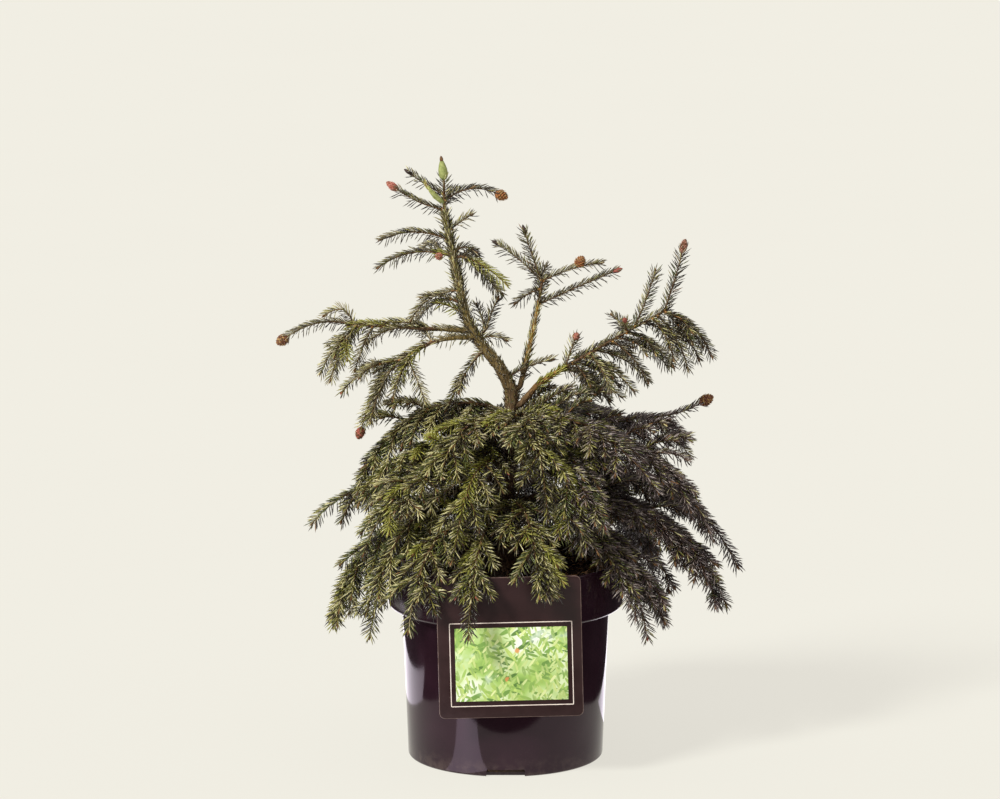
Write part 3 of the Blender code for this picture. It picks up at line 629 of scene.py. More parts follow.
def leafPrint(place):
    # generic print: leaves strewn in layers on a pale green ground, with a bright haze and a few berries
    flat = place.moved(place=(-0.006, 0.0, -0.1123))
    blur = flat.noise(26.0, 2.0)
    picture = blur.ramp(
        (0.3, (112, 156, 70)), (0.44, (168, 204, 108)), (0.56, (212, 232, 174)), (0.68, (240, 246, 234)),
    )
    layers = (
        (38.0, 0.5, (78, 116, 56), (132, 174, 84)), (44.0, -0.9, (134, 174, 80), (194, 220, 118)),
        (52.0, 1.2, (100, 148, 70), (174, 208, 108)), (58.0, -0.3, (86, 128, 64), (156, 192, 96)),
        (64.0, 0.9, (160, 196, 100), (226, 236, 170)), (74.0, -1.3, (116, 160, 80), (206, 224, 140)),
    )
    for scale, turn, dark, pale in layers:
        # long leaves strewn at one slant, each with a lighter rib and its own tone
        strewn = flat.moved(turn=(0.0, turn, 0.0)).moved(place=(scale * 0.01, 0.0, 0.0), scale=(1.0, 1.0, 4.2))
        reach = strewn.cells(scale)
        tone = strewn.cells(scale, out="Color").part(0)
        leaf = reach.between(0.33, 0.37, 1.0, 0.0) * (tone > 0.15)
        rib = reach.between(0.02, 0.1, 1.0, 0.0)
        picture = leaf.mixed(picture, tone.mixed(dark, pale))
        picture = (rib * leaf * 0.45).mixed(picture, (232, 240, 196))
    glow = flat.moved(place=(0.3, 0.0, 0.1)).noise(34.0, 3.0).between(0.54, 0.66)
    picture = (glow * 0.7).mixed(picture, (228, 242, 232))
    berry = flat.cells(46.0).between(0.09, 0.13, 1.0, 0.0) * (flat.noise(31.0, 1.0) > 0.55)
    return {
        "Base Color": (berry * 0.8).mixed(picture, (222, 142, 84)),
        "Roughness": blur.between(0.2, 0.8, 0.3, 0.4),
        "Normal": flat.noise(1500.0, 2.0).bump(0.06, 0.0002),
    }


def makeCard():
    finish = cardFinish()
    bm = plate((card["width"], card["thick"], card["top"] - card["foot"]), card["corner"], card["edge"])
    ontoCard(bm, (0, 0), 0)
    body = pieceOf("cardBody", bm, finish, card["sharp"])
    # the hook runs level over the rim, then down inside the collar
    innerRadius = pot["collarFoot"] - pot["wall"]
    half = card["hookWidth"] / 2 + abs(card["centreX"])
    width, thick, drop, middle = card["hookWidth"], card["hookThick"], card["hookDrop"], card["centreX"]
    back = thick / 2 + 2 * gap - sqrt(innerRadius ** 2 - half ** 2)
    shelf = pot["height"] + gap + thick / 2
    depth = back - cardMiddle.y + thick / 2
    arms = []
    for size, place in (
        ((width, depth, thick), (middle, cardMiddle.y + depth / 2, shelf)),
        ((width, thick, drop), (middle, back, shelf + (thick - drop) / 2)),
    ):
        block = boxOf(size)
        bevel(block, block.edges[:], card["hookEdge"], 2)
        bmesh.ops.translate(block, vec=place, verts=block.verts[:])
        arms.append(pieceOf("cardHook", block, finish))
    cutOrJoin(body, arms, "UNION", card["sharp"])
    # painted highlight: the front bevels of the card get a paler finish, standing in for light catching the edge
    body.data.materials.append(speckled(
        "paintedCardEdgeHighlight", {"Specular IOR Level": 0.5}, (160.0, 3.0), (84, 64, 58), (122, 100, 92),
        (600.0, 2.0, 0.25, 0.75, 0.3, 0.45), spread=0.15,
    ))
    for face in body.data.polygons:
        if 0.2 < -face.normal.y < 0.98 and face.center.y < cardMiddle.y:
            face.material_index = 1
    belongs(body, "card", "card")

    # printed picture and the thin line round it, a hair proud of the card
    wide, high = card["picture"]
    bm = plate((wide, card["proud"], high), 0.0006, 0.00003)
    ontoCard(bm, card["pictureShift"], -card["thick"] / 2 - 0.00004)
    belongs(pieceOf("cardPicture", bm, makeFinish("leafPrint", {"Specular IOR Level": 0.5}, leafPrint), 30), "card")

    bm = flatOf(*card["frame"])
    bevel(bm, bm.verts[:], card["frameCorner"], 4, "VERTICES")
    bmesh.ops.inset_individual(bm, faces=bm.faces[:], thickness=card["line"], use_even_offset=True)
    middle = max(bm.faces, key=lambda face: face.calc_area())
    bmesh.ops.delete(bm, geom=[middle], context="FACES")
    lift = bmesh.ops.extrude_face_region(bm, geom=bm.faces[:])
    raised = [item for item in lift["geom"] if isinstance(item, bmesh.types.BMVert)]
    bmesh.ops.translate(bm, vec=(0, 0, card["proud"]), verts=raised)
    ontoCard(bm, card["pictureShift"], -card["thick"] / 2 + 0.00008, Matrix.Rotation(pi / 2, 4, "X"))
    belongs(pieceOf("cardFrameLine", bm, speckled(
        "paleInk", {}, (240.0, 3.0), (226, 208, 200), (246, 236, 226), (500.0, 2.0, 0.2, 0.8, 0.35, 0.5),
    )), "card")


makeCard()
print("card ready")


# how the plant grows
seed = 4107
trunkStations = (
    (0.0, 0.0, 0.177, 0.0118), (0.0003, 0.0002, 0.184, 0.0092), (0.001, 0.001, 0.205, 0.0079),
    (0.003, 0.003, 0.26, 0.0073), (0.006, 0.003, 0.32, 0.0067), (0.005, 0.001, 0.352, 0.0061),
    (-0.006, -0.002, 0.374, 0.0056), (-0.024, -0.004, 0.396, 0.0049), (-0.036, -0.004, 0.418, 0.0041),
    (-0.043, -0.004, 0.45, 0.0034), (-0.05, -0.003, 0.485, 0.0027), (-0.057, -0.002, 0.521, 0.0021),
)
limb = {
    "steps": 8, "rootSink": 0.003, "twigRadius": 0.002, "twigTip": 0.0009, "taper": 0.58,
    "shootRadius": 0.00085, "twigletRadius": 0.0007, "shootTaper": 0.55, "radius": 0.0018, "radiusRise": 0.0085,
    "seatStart": 0.025, "seatSteps": 24, "seatCorners": 12, "seatReaches": (0.0, 0.004, 0.009, 0.018),
}
spray = {
    "firstPair": 0.08, "lastPair": 0.82, "stagger": 0.036, "splay": (44, 60), "closing": 10,
    "sag": (0.1, 0.45), "tipShrink": 0.22, "spread": (0.88, 1.14),
    "fineSpread": (0.72, 0.98), "least": 0.04, "overBelow": 0.312,
    "overOffset": 0.075, "overRise": (0.35, 0.6), "overLength": (0.62, 0.8),
}
# name, height on the trunk, azimuth, lift, bend, reach, bough length, pairs, side length
fans = (
    ("skirt_left", 0.238, 197, 20, -84, 0.177, 0.062, 4, 0.055),
    ("skirt_left_low", 0.254, 214, 22, -100, 0.175, 0.0, 3, 0.05),
    ("skirt_front_left", 0.23, 231, 32, -108, 0.16, 0.056, 3, 0.048),
    ("skirt_front", 0.222, 256, 38, -112, 0.158, 0.0, 3, 0.044),
    ("skirt_front_right", 0.234, 282, 40, -104, 0.142, 0.0, 3, 0.046),
    ("skirt_right_front", 0.226, 334, 26, -104, 0.162, 0.056, 4, 0.052),
    ("skirt_right", 0.242, 357, 24, -82, 0.196, 0.064, 5, 0.056),
    ("skirt_back_right", 0.23, 36, 26, -100, 0.198, 0.064, 4, 0.056),
    ("skirt_back", 0.238, 82, 26, -102, 0.192, 0.064, 4, 0.054),
    ("skirt_back_left", 0.228, 132, 26, -100, 0.198, 0.064, 4, 0.056),
    ("low_left", 0.262, 176, 14, -40, 0.15, 0.074, 3, 0.044),
    ("middle_front_left", 0.284, 212, 26, -84, 0.15, 0.05, 4, 0.05),
    ("middle_front", 0.276, 246, 40, -106, 0.122, 0.0, 3, 0.046),
    ("middle_front_right", 0.288, 304, 36, -106, 0.13, 0.046, 3, 0.05),
    ("middle_right", 0.29, 348, 36, -92, 0.178, 0.06, 4, 0.052),
    ("lower_right", 0.258, 14, 24, -76, 0.21, 0.064, 5, 0.052),
    ("middle_back_right", 0.28, 60, 28, -82, 0.16, 0.054, 4, 0.05),
    ("middle_back_left", 0.274, 106, 26, -80, 0.158, 0.054, 4, 0.05),
    ("inner_left", 0.302, 194, 14, -50, 0.104, 0.0, 3, 0.046),
    ("upper_left", 0.33, 187, 26, -84, 0.132, 0.0, 4, 0.048),
    ("upper_back_left", 0.314, 148, 28, -74, 0.128, 0.0, 4, 0.048),
    ("upper_back", 0.306, 92, 28, -76, 0.118, 0.0, 3, 0.046),
    ("upper_back_right", 0.316, 34, 26, -66, 0.13, 0.0, 4, 0.048),
    ("upper_front_left", 0.318, 228, 36, -104, 0.104, 0.0, 3, 0.046),
    ("upper_front_right", 0.322, 286, 38, -108, 0.112, 0.0, 3, 0.046),
    ("under_right", 0.322, 322, 22, -60, 0.138, 0.0, 4, 0.048),
)
# name, height, azimuth, lift, bend, bough length, stem length
arms = (
    ("right_leader", 0.352, 14, 75, 6, 0.08, 0.026),
    ("right_high", 0.336, 350, 37, -5, 0.05, 0.12),
    ("right_cone", 0.308, 8, 5, 2, 0.096, 0.028),
    ("left_high", 0.408, 180, 3, 0, 0.026, 0.082),
    ("left_middle", 0.402, 194, 6, -62, 0.03, 0.07),
    ("crown_top", 0.521, 97, 84, 4, 0.0, 0.032),
    ("crown_left", 0.48, 180, 8, 0, 0.0, 0.01),
    ("crown_right", 0.478, 0, 4, 0, 0.0, 0.01),
    ("shoulder_left", 0.436, 182, 20, 0, 0.0, 0.008),
    ("shoulder_right", 0.404, 20, 40, 10, 0.0, 0.01),
    ("shoulder_low", 0.388, 210, -40, -10, 0.0, 0.01),
)
# each shoot: place along the stem, azimuth, lift, length, arch, and unless it has a plain bud, its end and
# the length of its cone
armShoots = {
    "right_leader": (
        (0.0, 352, 25, 0.08, 0.01, "redBud", 0.0), (1.0, 352, 19, 0.058, 0.05, "perch", 0.012),
        (0.98, 176, 40, 0.054, 0.04, "withered", 0.0), (0.9, 180, 71, 0.05, -0.04, "withered", 0.0),
        (0.6, 188, -28, 0.026, 0.08), (0.3, 80, 30, 0.044, 0.08),
    ),
    "right_high": (
        (0.03, 10, 70, 0.03, 0.0, "pink", 0.008), (0.64, 264, 30, 0.03, 0.0, "redBud", 0.0),
        (0.7, 4, 70, 0.056, -0.06), (1.0, 12, 73, 0.06, -0.06, "brush", 0.014), (0.96, 8, -54, 0.056, 0.12),
        (0.98, 20, -42, 0.052, 0.12), (0.64, 180, 48, 0.02, 0.02), (0.34, 10, -30, 0.058, 0.12),
        (0.54, 355, -28, 0.054, 0.12), (0.24, 350, -32, 0.056, 0.1), (0.86, 300, -40, 0.05, 0.14),
        (0.06, 8, -40, 0.052, 0.06), (0.0, 0, -26, 0.06, 0.05), (0.16, 30, -30, 0.056, 0.08),
        (1.0, 352, -42, 0.06, 0.16), (0.9, 322, -52, 0.058, 0.14), (0.62, 344, -32, 0.054, 0.14),
        (0.5, 336, -44, 0.05, 0.12), (0.3, 300, -36, 0.048, 0.12), (0.78, 44, -34, 0.056, 0.12),
        (0.42, 60, -20, 0.052, 0.12), (0.14, 292, -18, 0.042, 0.1), (0.18, 70, -6, 0.044, 0.1),
    ),
    "right_cone": (
        (1.0, 358, 15, 0.056, -0.09, "brown", 0.015), (0.9, 340, -38, 0.056, 0.12), (0.7, 30, -30, 0.056, 0.12),
        (0.24, 312, -34, 0.046, 0.1), (0.2, 52, -14, 0.046, 0.1),
    ),
    "left_high": (
        (0.08, 180, 8, 0.042, 0.06), (0.52, 180, 2, 0.04, 0.06), (1.0, 181, -11, 0.065, 0.13, "brown", 0.013),
        (0.98, 172, 18, 0.028, 0.38, "young", 0.0), (0.9, 190, -50, 0.056, 0.12), (0.34, 188, -20, 0.04, 0.12),
        (0.94, 206, -62, 0.056, 0.1), (0.86, 160, -58, 0.05, 0.1), (0.74, 222, -60, 0.044, 0.1),
    ),
    "left_middle": (
        (1.0, 190, -66, 0.052, 0.1, "redBud", 0.012), (0.6, 184, -28, 0.062, 0.14), (0.8, 222, -62, 0.05, 0.1),
        (0.42, 236, -50, 0.05, 0.08), (0.52, 304, -50, 0.05, 0.1), (0.48, 140, -40, 0.056, 0.12),
        (0.84, 118, -50, 0.05, 0.12), (0.22, 210, -46, 0.05, 0.12), (0.14, 110, 10, 0.04, 0.1),
    ),
    "crown_top": (
        (0.02, 180, 24, 0.049, -0.06, "pink", 0.014), (0.26, 355, 9, 0.051, 0.17, "rust", 0.013),
        (0.46, 186, 33, 0.038, -0.03, "withered", 0.0), (0.22, 200, 46, 0.024, -0.08, "fresh", 0.0),
        (0.2, 70, 14, 0.034, 0.12), (0.98, 176, 83, 0.0175, 0.0, "teardrop", 0.0),
    ),
    "crown_left": (
        (0.6, 184, -11, 0.06, 0.11), (0.7, 110, -4, 0.054, 0.12), (0.95, 246, -12, 0.006, 0.0, "pink", 0.007),
    ),
    "crown_right": (
        (0.9, 344, -31, 0.046, 0.06), (0.9, 10, -46, 0.05, 0.04), (0.6, 74, -10, 0.044, 0.12),
        (0.4, 356, -43, 0.044, 0.06),
    ),
    "shoulder_left": (
        (0.9, 178, 4, 0.028, 0.1), (0.7, 150, -30, 0.044, 0.12),
    ),
    "shoulder_right": (
        (0.8, 40, 62, 0.03, 0.03), (0.6, 110, 40, 0.03, 0.06),
    ),
    "shoulder_low": (
        (0.9, 188, -60, 0.057, 0.06),
    ),
}
# shoots that leave the trunk itself: owner, height, azimuth, lift, length, arch
trunkShoots = (
    ("crown_top", 0.503, 10, 34, 0.024, 0.04), ("crown_left", 0.494, 178, 0, 0.062, 0.12),
    ("crown_right", 0.482, 345, 6, 0.02, 0.24), ("shoulder_left", 0.424, 176, 22, 0.026, 0.06),
    ("shoulder_left", 0.446, 186, -30, 0.051, 0.16), ("shoulder_right", 0.4, 352, 0, 0.024, 0.12),
    ("right_high", 0.362, 352, 24, 0.046, 0.06),
)
# how far up the stems of arms are bare, as a share of their length
bareStems = {"right_high": 0.45, "right_leader": 0.1, "left_high": 0.0, "left_middle": 0.0}
# fans that carry more twiglets
fullFans = (
    "skirt_right", "skirt_right_front", "lower_right", "middle_right", "middle_front_right", "skirt_front_right",
    "inner_left", "upper_front_left", "upper_front_right", "middle_front_left",
    "skirt_back", "skirt_back_left", "skirt_back_right", "middle_back_left", "middle_back_right",
)
# fans whose shoots differ: share of the usual length, how much more they hang, share at the end shoot
fanTrim = {
    "skirt_left": (0.8, 0.35, 1.0), "skirt_left_low": (0.82, 0.3, 1.0), "low_left": (0.85, 0.55, 1.0),
    "lower_right": (0.8, 0.45, 1.0), "upper_left": (0.85, 0.45, 1.0), "upper_back_left": (0.85, 0.3, 1.0),
    "skirt_right": (0.9, 0.2, 1.0), "middle_right": (0.92, 0.15, 1.0), "skirt_front": (0.8, 0.0, 0.82),
    "skirt_front_right": (0.88, 0.0, 0.66),
}
# extra shoots of some fans: place, azimuth, lift, length, arch
fanExtras = {
    "skirt_front_right": ((0.7, 300, -50, 0.06, 0.1), (0.95, 318, -58, 0.036, 0.12), (0.45, 322, -20, 0.056, 0.14)),
    "skirt_right_front": ((0.4, 300, -40, 0.056, 0.14), (0.7, 0, -46, 0.056, 0.12), (0.85, 10, -54, 0.052, 0.12)),
    "middle_front_right": ((0.6, 322, -44, 0.062, 0.14), (0.92, 290, -70, 0.058, 0.1)),
    "skirt_right": ((0.55, 330, -52, 0.06, 0.14), (0.92, 350, -66, 0.058, 0.1)),
    "skirt_left_low": ((0.84, 206, -66, 0.058, 0.12),),
    "skirt_left": ((0.95, 190, -70, 0.06, 0.12), (0.78, 212, -74, 0.056, 0.12)),
    "skirt_front": ((0.7, 240, -58, 0.046, 0.12),),
    "upper_left": ((0.55, 200, 12, 0.04, 0.1), (0.74, 172, 8, 0.036, 0.1), (0.9, 196, -56, 0.05, 0.12)),
    "under_right": (
        (0.08, 356, 36, 0.05, 0.08), (0.24, 10, 30, 0.05, 0.08), (0.02, 30, 44, 0.04, 0.08),
        (0.4, 20, 30, 0.046, 0.08),
    ),
    "middle_right": ((0.42, 10, 20, 0.05, 0.1), (0.6, 20, 14, 0.046, 0.1)),
    "middle_front": ((0.55, 268, -50, 0.056, 0.14),),
    "inner_left": ((0.6, 206, -20, 0.05, 0.14), (0.9, 180, -34, 0.05, 0.14)),
}
trunkTree = BVHTree.FromPolygons(
    [vert.co for vert in nodes["trunk"].data.vertices],
    [tuple(face.vertices) for face in nodes["trunk"].data.polygons],
)
shoots, stems, boughs = [], [], []


class Shoot:
    # one needled shoot, or the needled stem that carries others

    def __init__(self, owner, path, radii, needles=1.0, end="bud", cone=0.0, rank=1, bare=0.0):
        self.owner, self.radii, self.needles = owner, radii, needles
        self.path = np.array([list(point) for point in path])
        self.end, self.cone, self.rank, self.bare = end, cone, rank, bare

    def length(self):
        return float(np.linalg.norm(np.diff(self.path, axis=0), axis=1).sum())


def directionOf(azimuth, lift):
    turn, slope = radians(azimuth), radians(lift)
    return Vector((cos(slope) * cos(turn), cos(slope) * sin(turn), sin(slope)))


def arcPath(start, azimuth, lift, bend, length):
    points = [Vector(start)]
    for step in range(limb["steps"]):
        slope = lift + bend * (step + 0.5) / limb["steps"]
        points.append(points[-1] + directionOf(azimuth, slope) * (length / limb["steps"]))
    return points


def pointAlong(path, share):
    place = min(max(share, 0.0), 1.0) * (len(path) - 1)
    index = min(int(place), len(path) - 2)
    step = path[index + 1] - path[index]
    return path[index] + step * (place - index), step.normalized()


def rootAlong(path, share):
    length = (path[1] - path[0]).length * (len(path) - 1)
    return pointAlong(path, min(share, 1.0 - limb["rootSink"] / length))[0]


def cutPath(path, first, last):
    count = len(path) - 1
    inside = [point for index, point in enumerate(path) if first + 0.01 < index / count < last - 0.01]
    return [pointAlong(path, first)[0]] + inside + [pointAlong(path, last)[0]]


def trunkAt(height):
    for low, high in zip(trunkStations, trunkStations[1:]):
        foot = Vector(low[:3])
        forward = Vector(high[:3]) - foot
        if height <= high[2]:
            break
    share = min((height - low[2]) / (high[2] - low[2]), 1.0)
    return foot + forward * share, forward.normalized()


def limbStart(height, azimuth, lift, radius):
    # where a limb's foot just clears the trunk, and the trunk's middle there
    centre, trunkForward = trunkAt(height)
    forward = directionOf(azimuth, lift)
    approach = trunkForward if height >= trunkStations[-1][2] else directionOf(azimuth, 0)
    side = forward.orthogonal().normalized()
    over = side.cross(forward)
    turns = [tau * step / limb["seatCorners"] for step in range(limb["seatCorners"])]
    rim = [(side * cos(turn) + over * sin(turn)) * radius for turn in turns]
    samples = [forward * along + offset for along in limb["seatReaches"] for offset in rim]
    start = centre + approach * limb["seatStart"]
    for _ in range(limb["seatSteps"]):
        nearest = min(trunkTree.find_nearest(start + sample)[3] for sample in samples)
        start -= approach * (nearest - gap)
    return start, centre


def addShoot(owner, root, direction, length, rng, arch=None, radius=limb["shootRadius"], **facts):
    # it leaves its stem, rises a little and droops to the tip that the source gives it
    drawn = rng.uniform(0.05, 0.12)
    arch = drawn if arch is None else arch
    sway = rng.uniform(-0.04, 0.04)
    lifted = up - direction * up.dot(direction)
    side = direction.cross(up)
    path = []
    for step in range(limb["steps"] + 1):
        share = step / limb["steps"]
        rise = 4.0 * share * (1.0 - share) * length
        path.append(root + direction * (length * share) + lifted * (rise * arch) + side * (rise * sway))
    shoots.append(Shoot(owner, path, (radius, radius * limb["shootTaper"]), **facts))
    return path


def addTwiglets(owner, path, length, rng, count):
    # short shoots of the next order on a side shoot
    for place in range(count):
        share = 0.3 + 0.4 * place / max(count - 1, 1) + rng.uniform(-0.05, 0.05)
        root, forward = pointAlong(path, share)
        side = forward.cross(up).normalized()
        for hand in (-1, 1):
            if rng.random() < 0.2:
                continue
            angle = radians(rng.uniform(38, 52))
            out = forward * cos(angle) + side * (hand * sin(angle)) - up * rng.uniform(0.0, 0.25)
            short = length * rng.uniform(0.38, 0.56) * (1.0 - 0.35 * share)
            addShoot(owner, root, out.normalized(), short, rng, radius=limb["twigletRadius"], rank=3)


def growLimb(name, height, azimuth, lift, bend, boughLength, stemLength):
    reach = boughLength + stemLength
    radius = limb["radius"] + limb["radiusRise"] * reach
    stemRadii = (limb["twigRadius"], limb["twigTip"])
    seatLift = lift + bend / (2 * limb["steps"])
    start, centre = limbStart(height, azimuth, seatLift, radius if boughLength else stemRadii[0])
    path = arcPath(start, azimuth, lift, bend, reach)
    if name == "right_high":
        # this limb leaves the trunk steeply, then bows over
        path = [
            point + up * 0.008 * sin(pi * (step / limb["steps"]) ** 0.3) for step, point in enumerate(path)
        ]
    inner = start + (centre - start) * 0.75
    stem, shown = path, [inner] + path
    if boughLength:
        share = boughLength / reach
        radii = (radius, radius * limb["taper"])
        boughs.append((name, [inner] + cutPath(path, 0.0, share + 0.01), *radii))
        stem = shown = cutPath(path, share + gap / reach, 1.0)
        end = "none" if name.startswith("left") else "stem"
        stems.append(Shoot(name, boughs[-1][1], radii, needles=0.9, end=end, bare=bareStems.get(name, 0.4)))
    shoots.append(Shoot(name, shown, stemRadii, rank=0, end="none", bare=0.1))
    return stem


def growFan(index, fan):
    name, height, azimuth, lift, bend, reach, boughLength, pairs, side = fan
    path = growLimb(name, height, azimuth, lift, bend, boughLength, reach - boughLength)
    rng = random.Random(seed + index)
    extra = random.Random(seed * 3 + index)
    trim, hang, endTrim = fanTrim.get(name, (1.0, 0.0, 1.0))
    full = name in fullFans
    span = spray["lastPair"] - spray["firstPair"]

    def growPair(share, draws, spread, twiglets, least):
        # a side shoot at each hand, those of some length with twiglets
        forward = pointAlong(path, share)[1]
        level = forward.cross(up).normalized()
        for hand in (-1, 1):
            angle = radians(draws.uniform(*spray["splay"]) - spray["closing"] * share)
            out = forward * cos(angle) + level * (hand * sin(angle))
            out -= up * (draws.uniform(*spray["sag"]) + hang)
            root = rootAlong(path, share + spray["stagger"] * (1 + hand) / 2)
            length = trim * side * (1.0 - spray["tipShrink"] * share) * draws.uniform(*spread)
            grown = addShoot(name, root, out.normalized(), length, extra, rank=2)
            if length > least:
                addTwiglets(name, grown, length, extra, twiglets)
        return forward, level

    for pair in range(pairs):
        share = spray["firstPair"] + span * pair / (pairs - 1)
        forward, level = growPair(share, rng, spray["spread"], (1 if pair else 2) + full, spray["least"])
        if pair % 2 == 0 and height < spray["overBelow"] and share < 0.7:
            # one more shoot rides on top of the stem
            root = rootAlong(path, share + spray["overOffset"])
            out = forward * 0.8 + level.cross(forward) * rng.uniform(*spray["overRise"])
            out += level * rng.uniform(-0.25, 0.25) - up * hang
            addShoot(name, root, out.normalized(), side * rng.uniform(*spray["overLength"]), extra, rank=2)
        if pair < pairs - 1:
            # a finer pair between this one and the next
            growPair(share + span * 0.5 / (pairs - 1), extra, spray["fineSpread"], int(full), 0.0)
    for place, turn, rise, long, arch in fanExtras.get(name, ()):
        grown = addShoot(name, rootAlong(path, place), directionOf(turn, rise), long, extra, arch=arch, rank=2)
        addTwiglets(name, grown, long, extra, 2)
    droop = (pointAlong(path, 1.0)[1] - up * (0.15 + hang * 0.4)).normalized()
    length = endTrim * side * rng.uniform(0.95, 1.1)
    addShoot(name, rootAlong(path, 1.0), droop, length, extra, rank=2)


def growArm(index, arm):
    name = arm[0]
    path = growLimb(*arm)
    rng = random.Random(seed * 5 + index)
    for share, turn, rise, length, arch, *kind in armShoots[name]:
        end, cone = kind or ("bud", 0.0)
        grown = addShoot(
            name, rootAlong(path, share), directionOf(turn, rise), length, rng, arch=arch, end=end, cone=cone, rank=2,
        )
        if length > 0.05 and rise < -18:
            addTwiglets(name, grown, length, rng, 1)


for index, arm in enumerate(arms):
    growArm(index, arm)
for index, fan in enumerate(fans):
    growFan(index, fan)
stray = random.Random(seed * 7)
for name, height, azimuth, lift, length, arch in trunkShoots:
    middle = trunkAt(height)[0] + directionOf(azimuth, 0) * 0.0015
    addShoot(name, middle, directionOf(azimuth, lift), length, stray, arch=arch, rank=2)
# the leading stem keeps its own needles above the last whorl
leader = [Vector(station[:3]) for station in trunkStations[4:]]
stems.append(Shoot("crown_top", leader, (0.0062, 0.0021), needles=2.3, end="stem"))
stems.append(Shoot("crown_top", leader[3:], (0.0044, 0.0021), needles=0.8, end="none"))
print("shoots", len(shoots), "length", round(sum(shoot.length() for shoot in shoots), 2))


# clear of pot, soil and card
clear = {"margin": 0.003, "soil": 0.002, "card": 0.006, "wall": 0.004}  # how near a shoot comes


def potOuter(heights):
    knots = [0.0, pot["neckHeight"] - 0.0005, pot["neckHeight"], pot["height"]]
    return np.interp(heights, knots, [pot[key] for key in ("baseRadius", "neckRadius", "collarFoot", "collarTop")])


def keepClear(points, margin, outside):
    # lifts points over the rim or lays them on the outside of wall, card and soil
    points = np.array(points, float)
    x, y, z = points[:, 0], points[:, 1], points[:, 2]
    out = np.hypot(x, y)
    outer = potOuter(z)
    inner = outer - pot["wall"]
    top = pot["height"] + margin
    low = z < top
    inWall = low & (out > inner - margin - clear["wall"]) & (out < outer + margin)
    push = inWall & (outside | (out > inner + pot["wall"] / 2))
    factor = np.where(push, (outer + margin) / np.maximum(out, 1e-6), 1.0)
    points[:, :2] *= factor[:, None]
    points[:, 2] = np.where(inWall & ~push, top, z)
    bed = soil["top"] + clear["soil"] + margin
    points[:, 2] = np.where(low & ~inWall & (out < inner) & (z < bed), bed, z)
    nearCard = (
        (np.abs(x - card["centreX"]) < card["width"] / 2 + margin)
        & (z > card["foot"] - margin) & (z < card["top"] + margin)
        & (y > cardFront - margin) & (y < cardFront + clear["card"] + margin)
    )
    points[:, 1] = np.where(nearCard, cardFront - margin, y)
    return points


def settle(shoot):
    # a shoot that would meet the pot drapes over it
    root, margin = shoot.path[0], clear["margin"]
    outside = np.full(len(shoot.path), hypot(root[0], root[1]) > potOuter(root[2]) - 0.001)
    moved = keepClear(shoot.path, margin, outside)
    if np.abs(moved - shoot.path).max() > 1e-6:
        eased = moved.copy()
        eased[1:-1] = (moved[:-2] + 2 * moved[1:-1] + moved[2:]) / 4
        shoot.path = np.concatenate([moved[:1], keepClear(eased[1:], margin * 0.8, outside[1:])])


for shoot in shoots:
    settle(shoot)


# needles
needle = {
    "length": 0.0118, "width": 0.0006, "perMetre": 1950, "spread": 0.11, "openLength": 0.0108, "openWidth": 0.00054,
    "topAngle": 26.0, "sideAngle": 53.0, "lowAngle": 66.0, "uprightAngle": 49.0, "tipAngle": 22.0, "stemAngle": 21.0,
    "freshAngle": 9.0, "freshLength": 0.0085, "closing": 0.006, "growing": 0.007,
}
# painted light and shade: the six greens from Shade up, the three greys from Slate and the three tones from Dusk are
# each a ladder of shaded to lit copies of one needle colour, the palest of each a painted highlight; the palest green
# also colours fresh shoots, and the three from Dusk paint the shade at the lower right
needleTones = {
    "Shade": (34, 24, 16), "Forest": (50, 45, 23), "Moss": (78, 77, 35), "Leaf": (115, 115, 51),
    "Olive": (155, 150, 82), "Young": (208, 202, 146), "Slate": (71, 62, 43), "Grey": (109, 102, 72),
    "Pale": (165, 156, 122), "Fresh": (170, 168, 80), "Dry": (140, 100, 58), "Dusk": (65, 51, 49),
    "Umber": (91, 78, 75), "Haze": (156, 143, 137), "Fern": (88, 97, 47), "Lime": (148, 150, 60),
}
slotOf = {tone: slot for slot, tone in enumerate(needleTones)}
# each piece of needles and the foliage it takes the place of
groups = {
    "needlesSkirtFront": ("skirt_left", "skirt_left_low", "skirt_front_left", "skirt_front", "skirt_front_right"),
    "needlesSkirtRight": ("skirt_right_front", "skirt_right", "lower_right"),
    "needlesSkirtBack": ("skirt_back_right", "skirt_back", "skirt_back_left"),
    "needlesMiddleFront": ("low_left", "middle_front_left", "middle_front", "middle_front_right", "inner_left"),
    "needlesMiddleRight": ("middle_right", "under_right", "right_cone"),
    "needlesMiddleBack": (
        "middle_back_right", "middle_back_left", "upper_back_left", "upper_back", "upper_back_right",
    ),
    "needlesUpper": ("upper_left", "upper_front_left", "upper_front_right", "left_middle", "left_high"),
    "needlesCrown": (
        "right_leader", "right_high", "crown_top", "crown_left", "crown_right",
        "shoulder_left", "shoulder_right", "shoulder_low",
    ),
}
needleTris = ((3, 4, 6), (4, 5, 6), (5, 3, 6))
openOwners = {arm[0] for arm in arms}


def alongPath(path, shares):
    # points and tangents at shares of a path's length
    steps = np.linalg.norm(np.diff(path, axis=0), axis=1)
    reached = np.concatenate([[0.0], np.cumsum(steps)])
    rows = (path, unitRows(np.gradient(path, reached, axis=0)))
    places = shares * reached[-1]
    points, forward = (
        np.stack([np.interp(places, reached, row[:, axis]) for axis in range(3)], axis=1) for row in rows
    )
    return points, unitRows(forward)


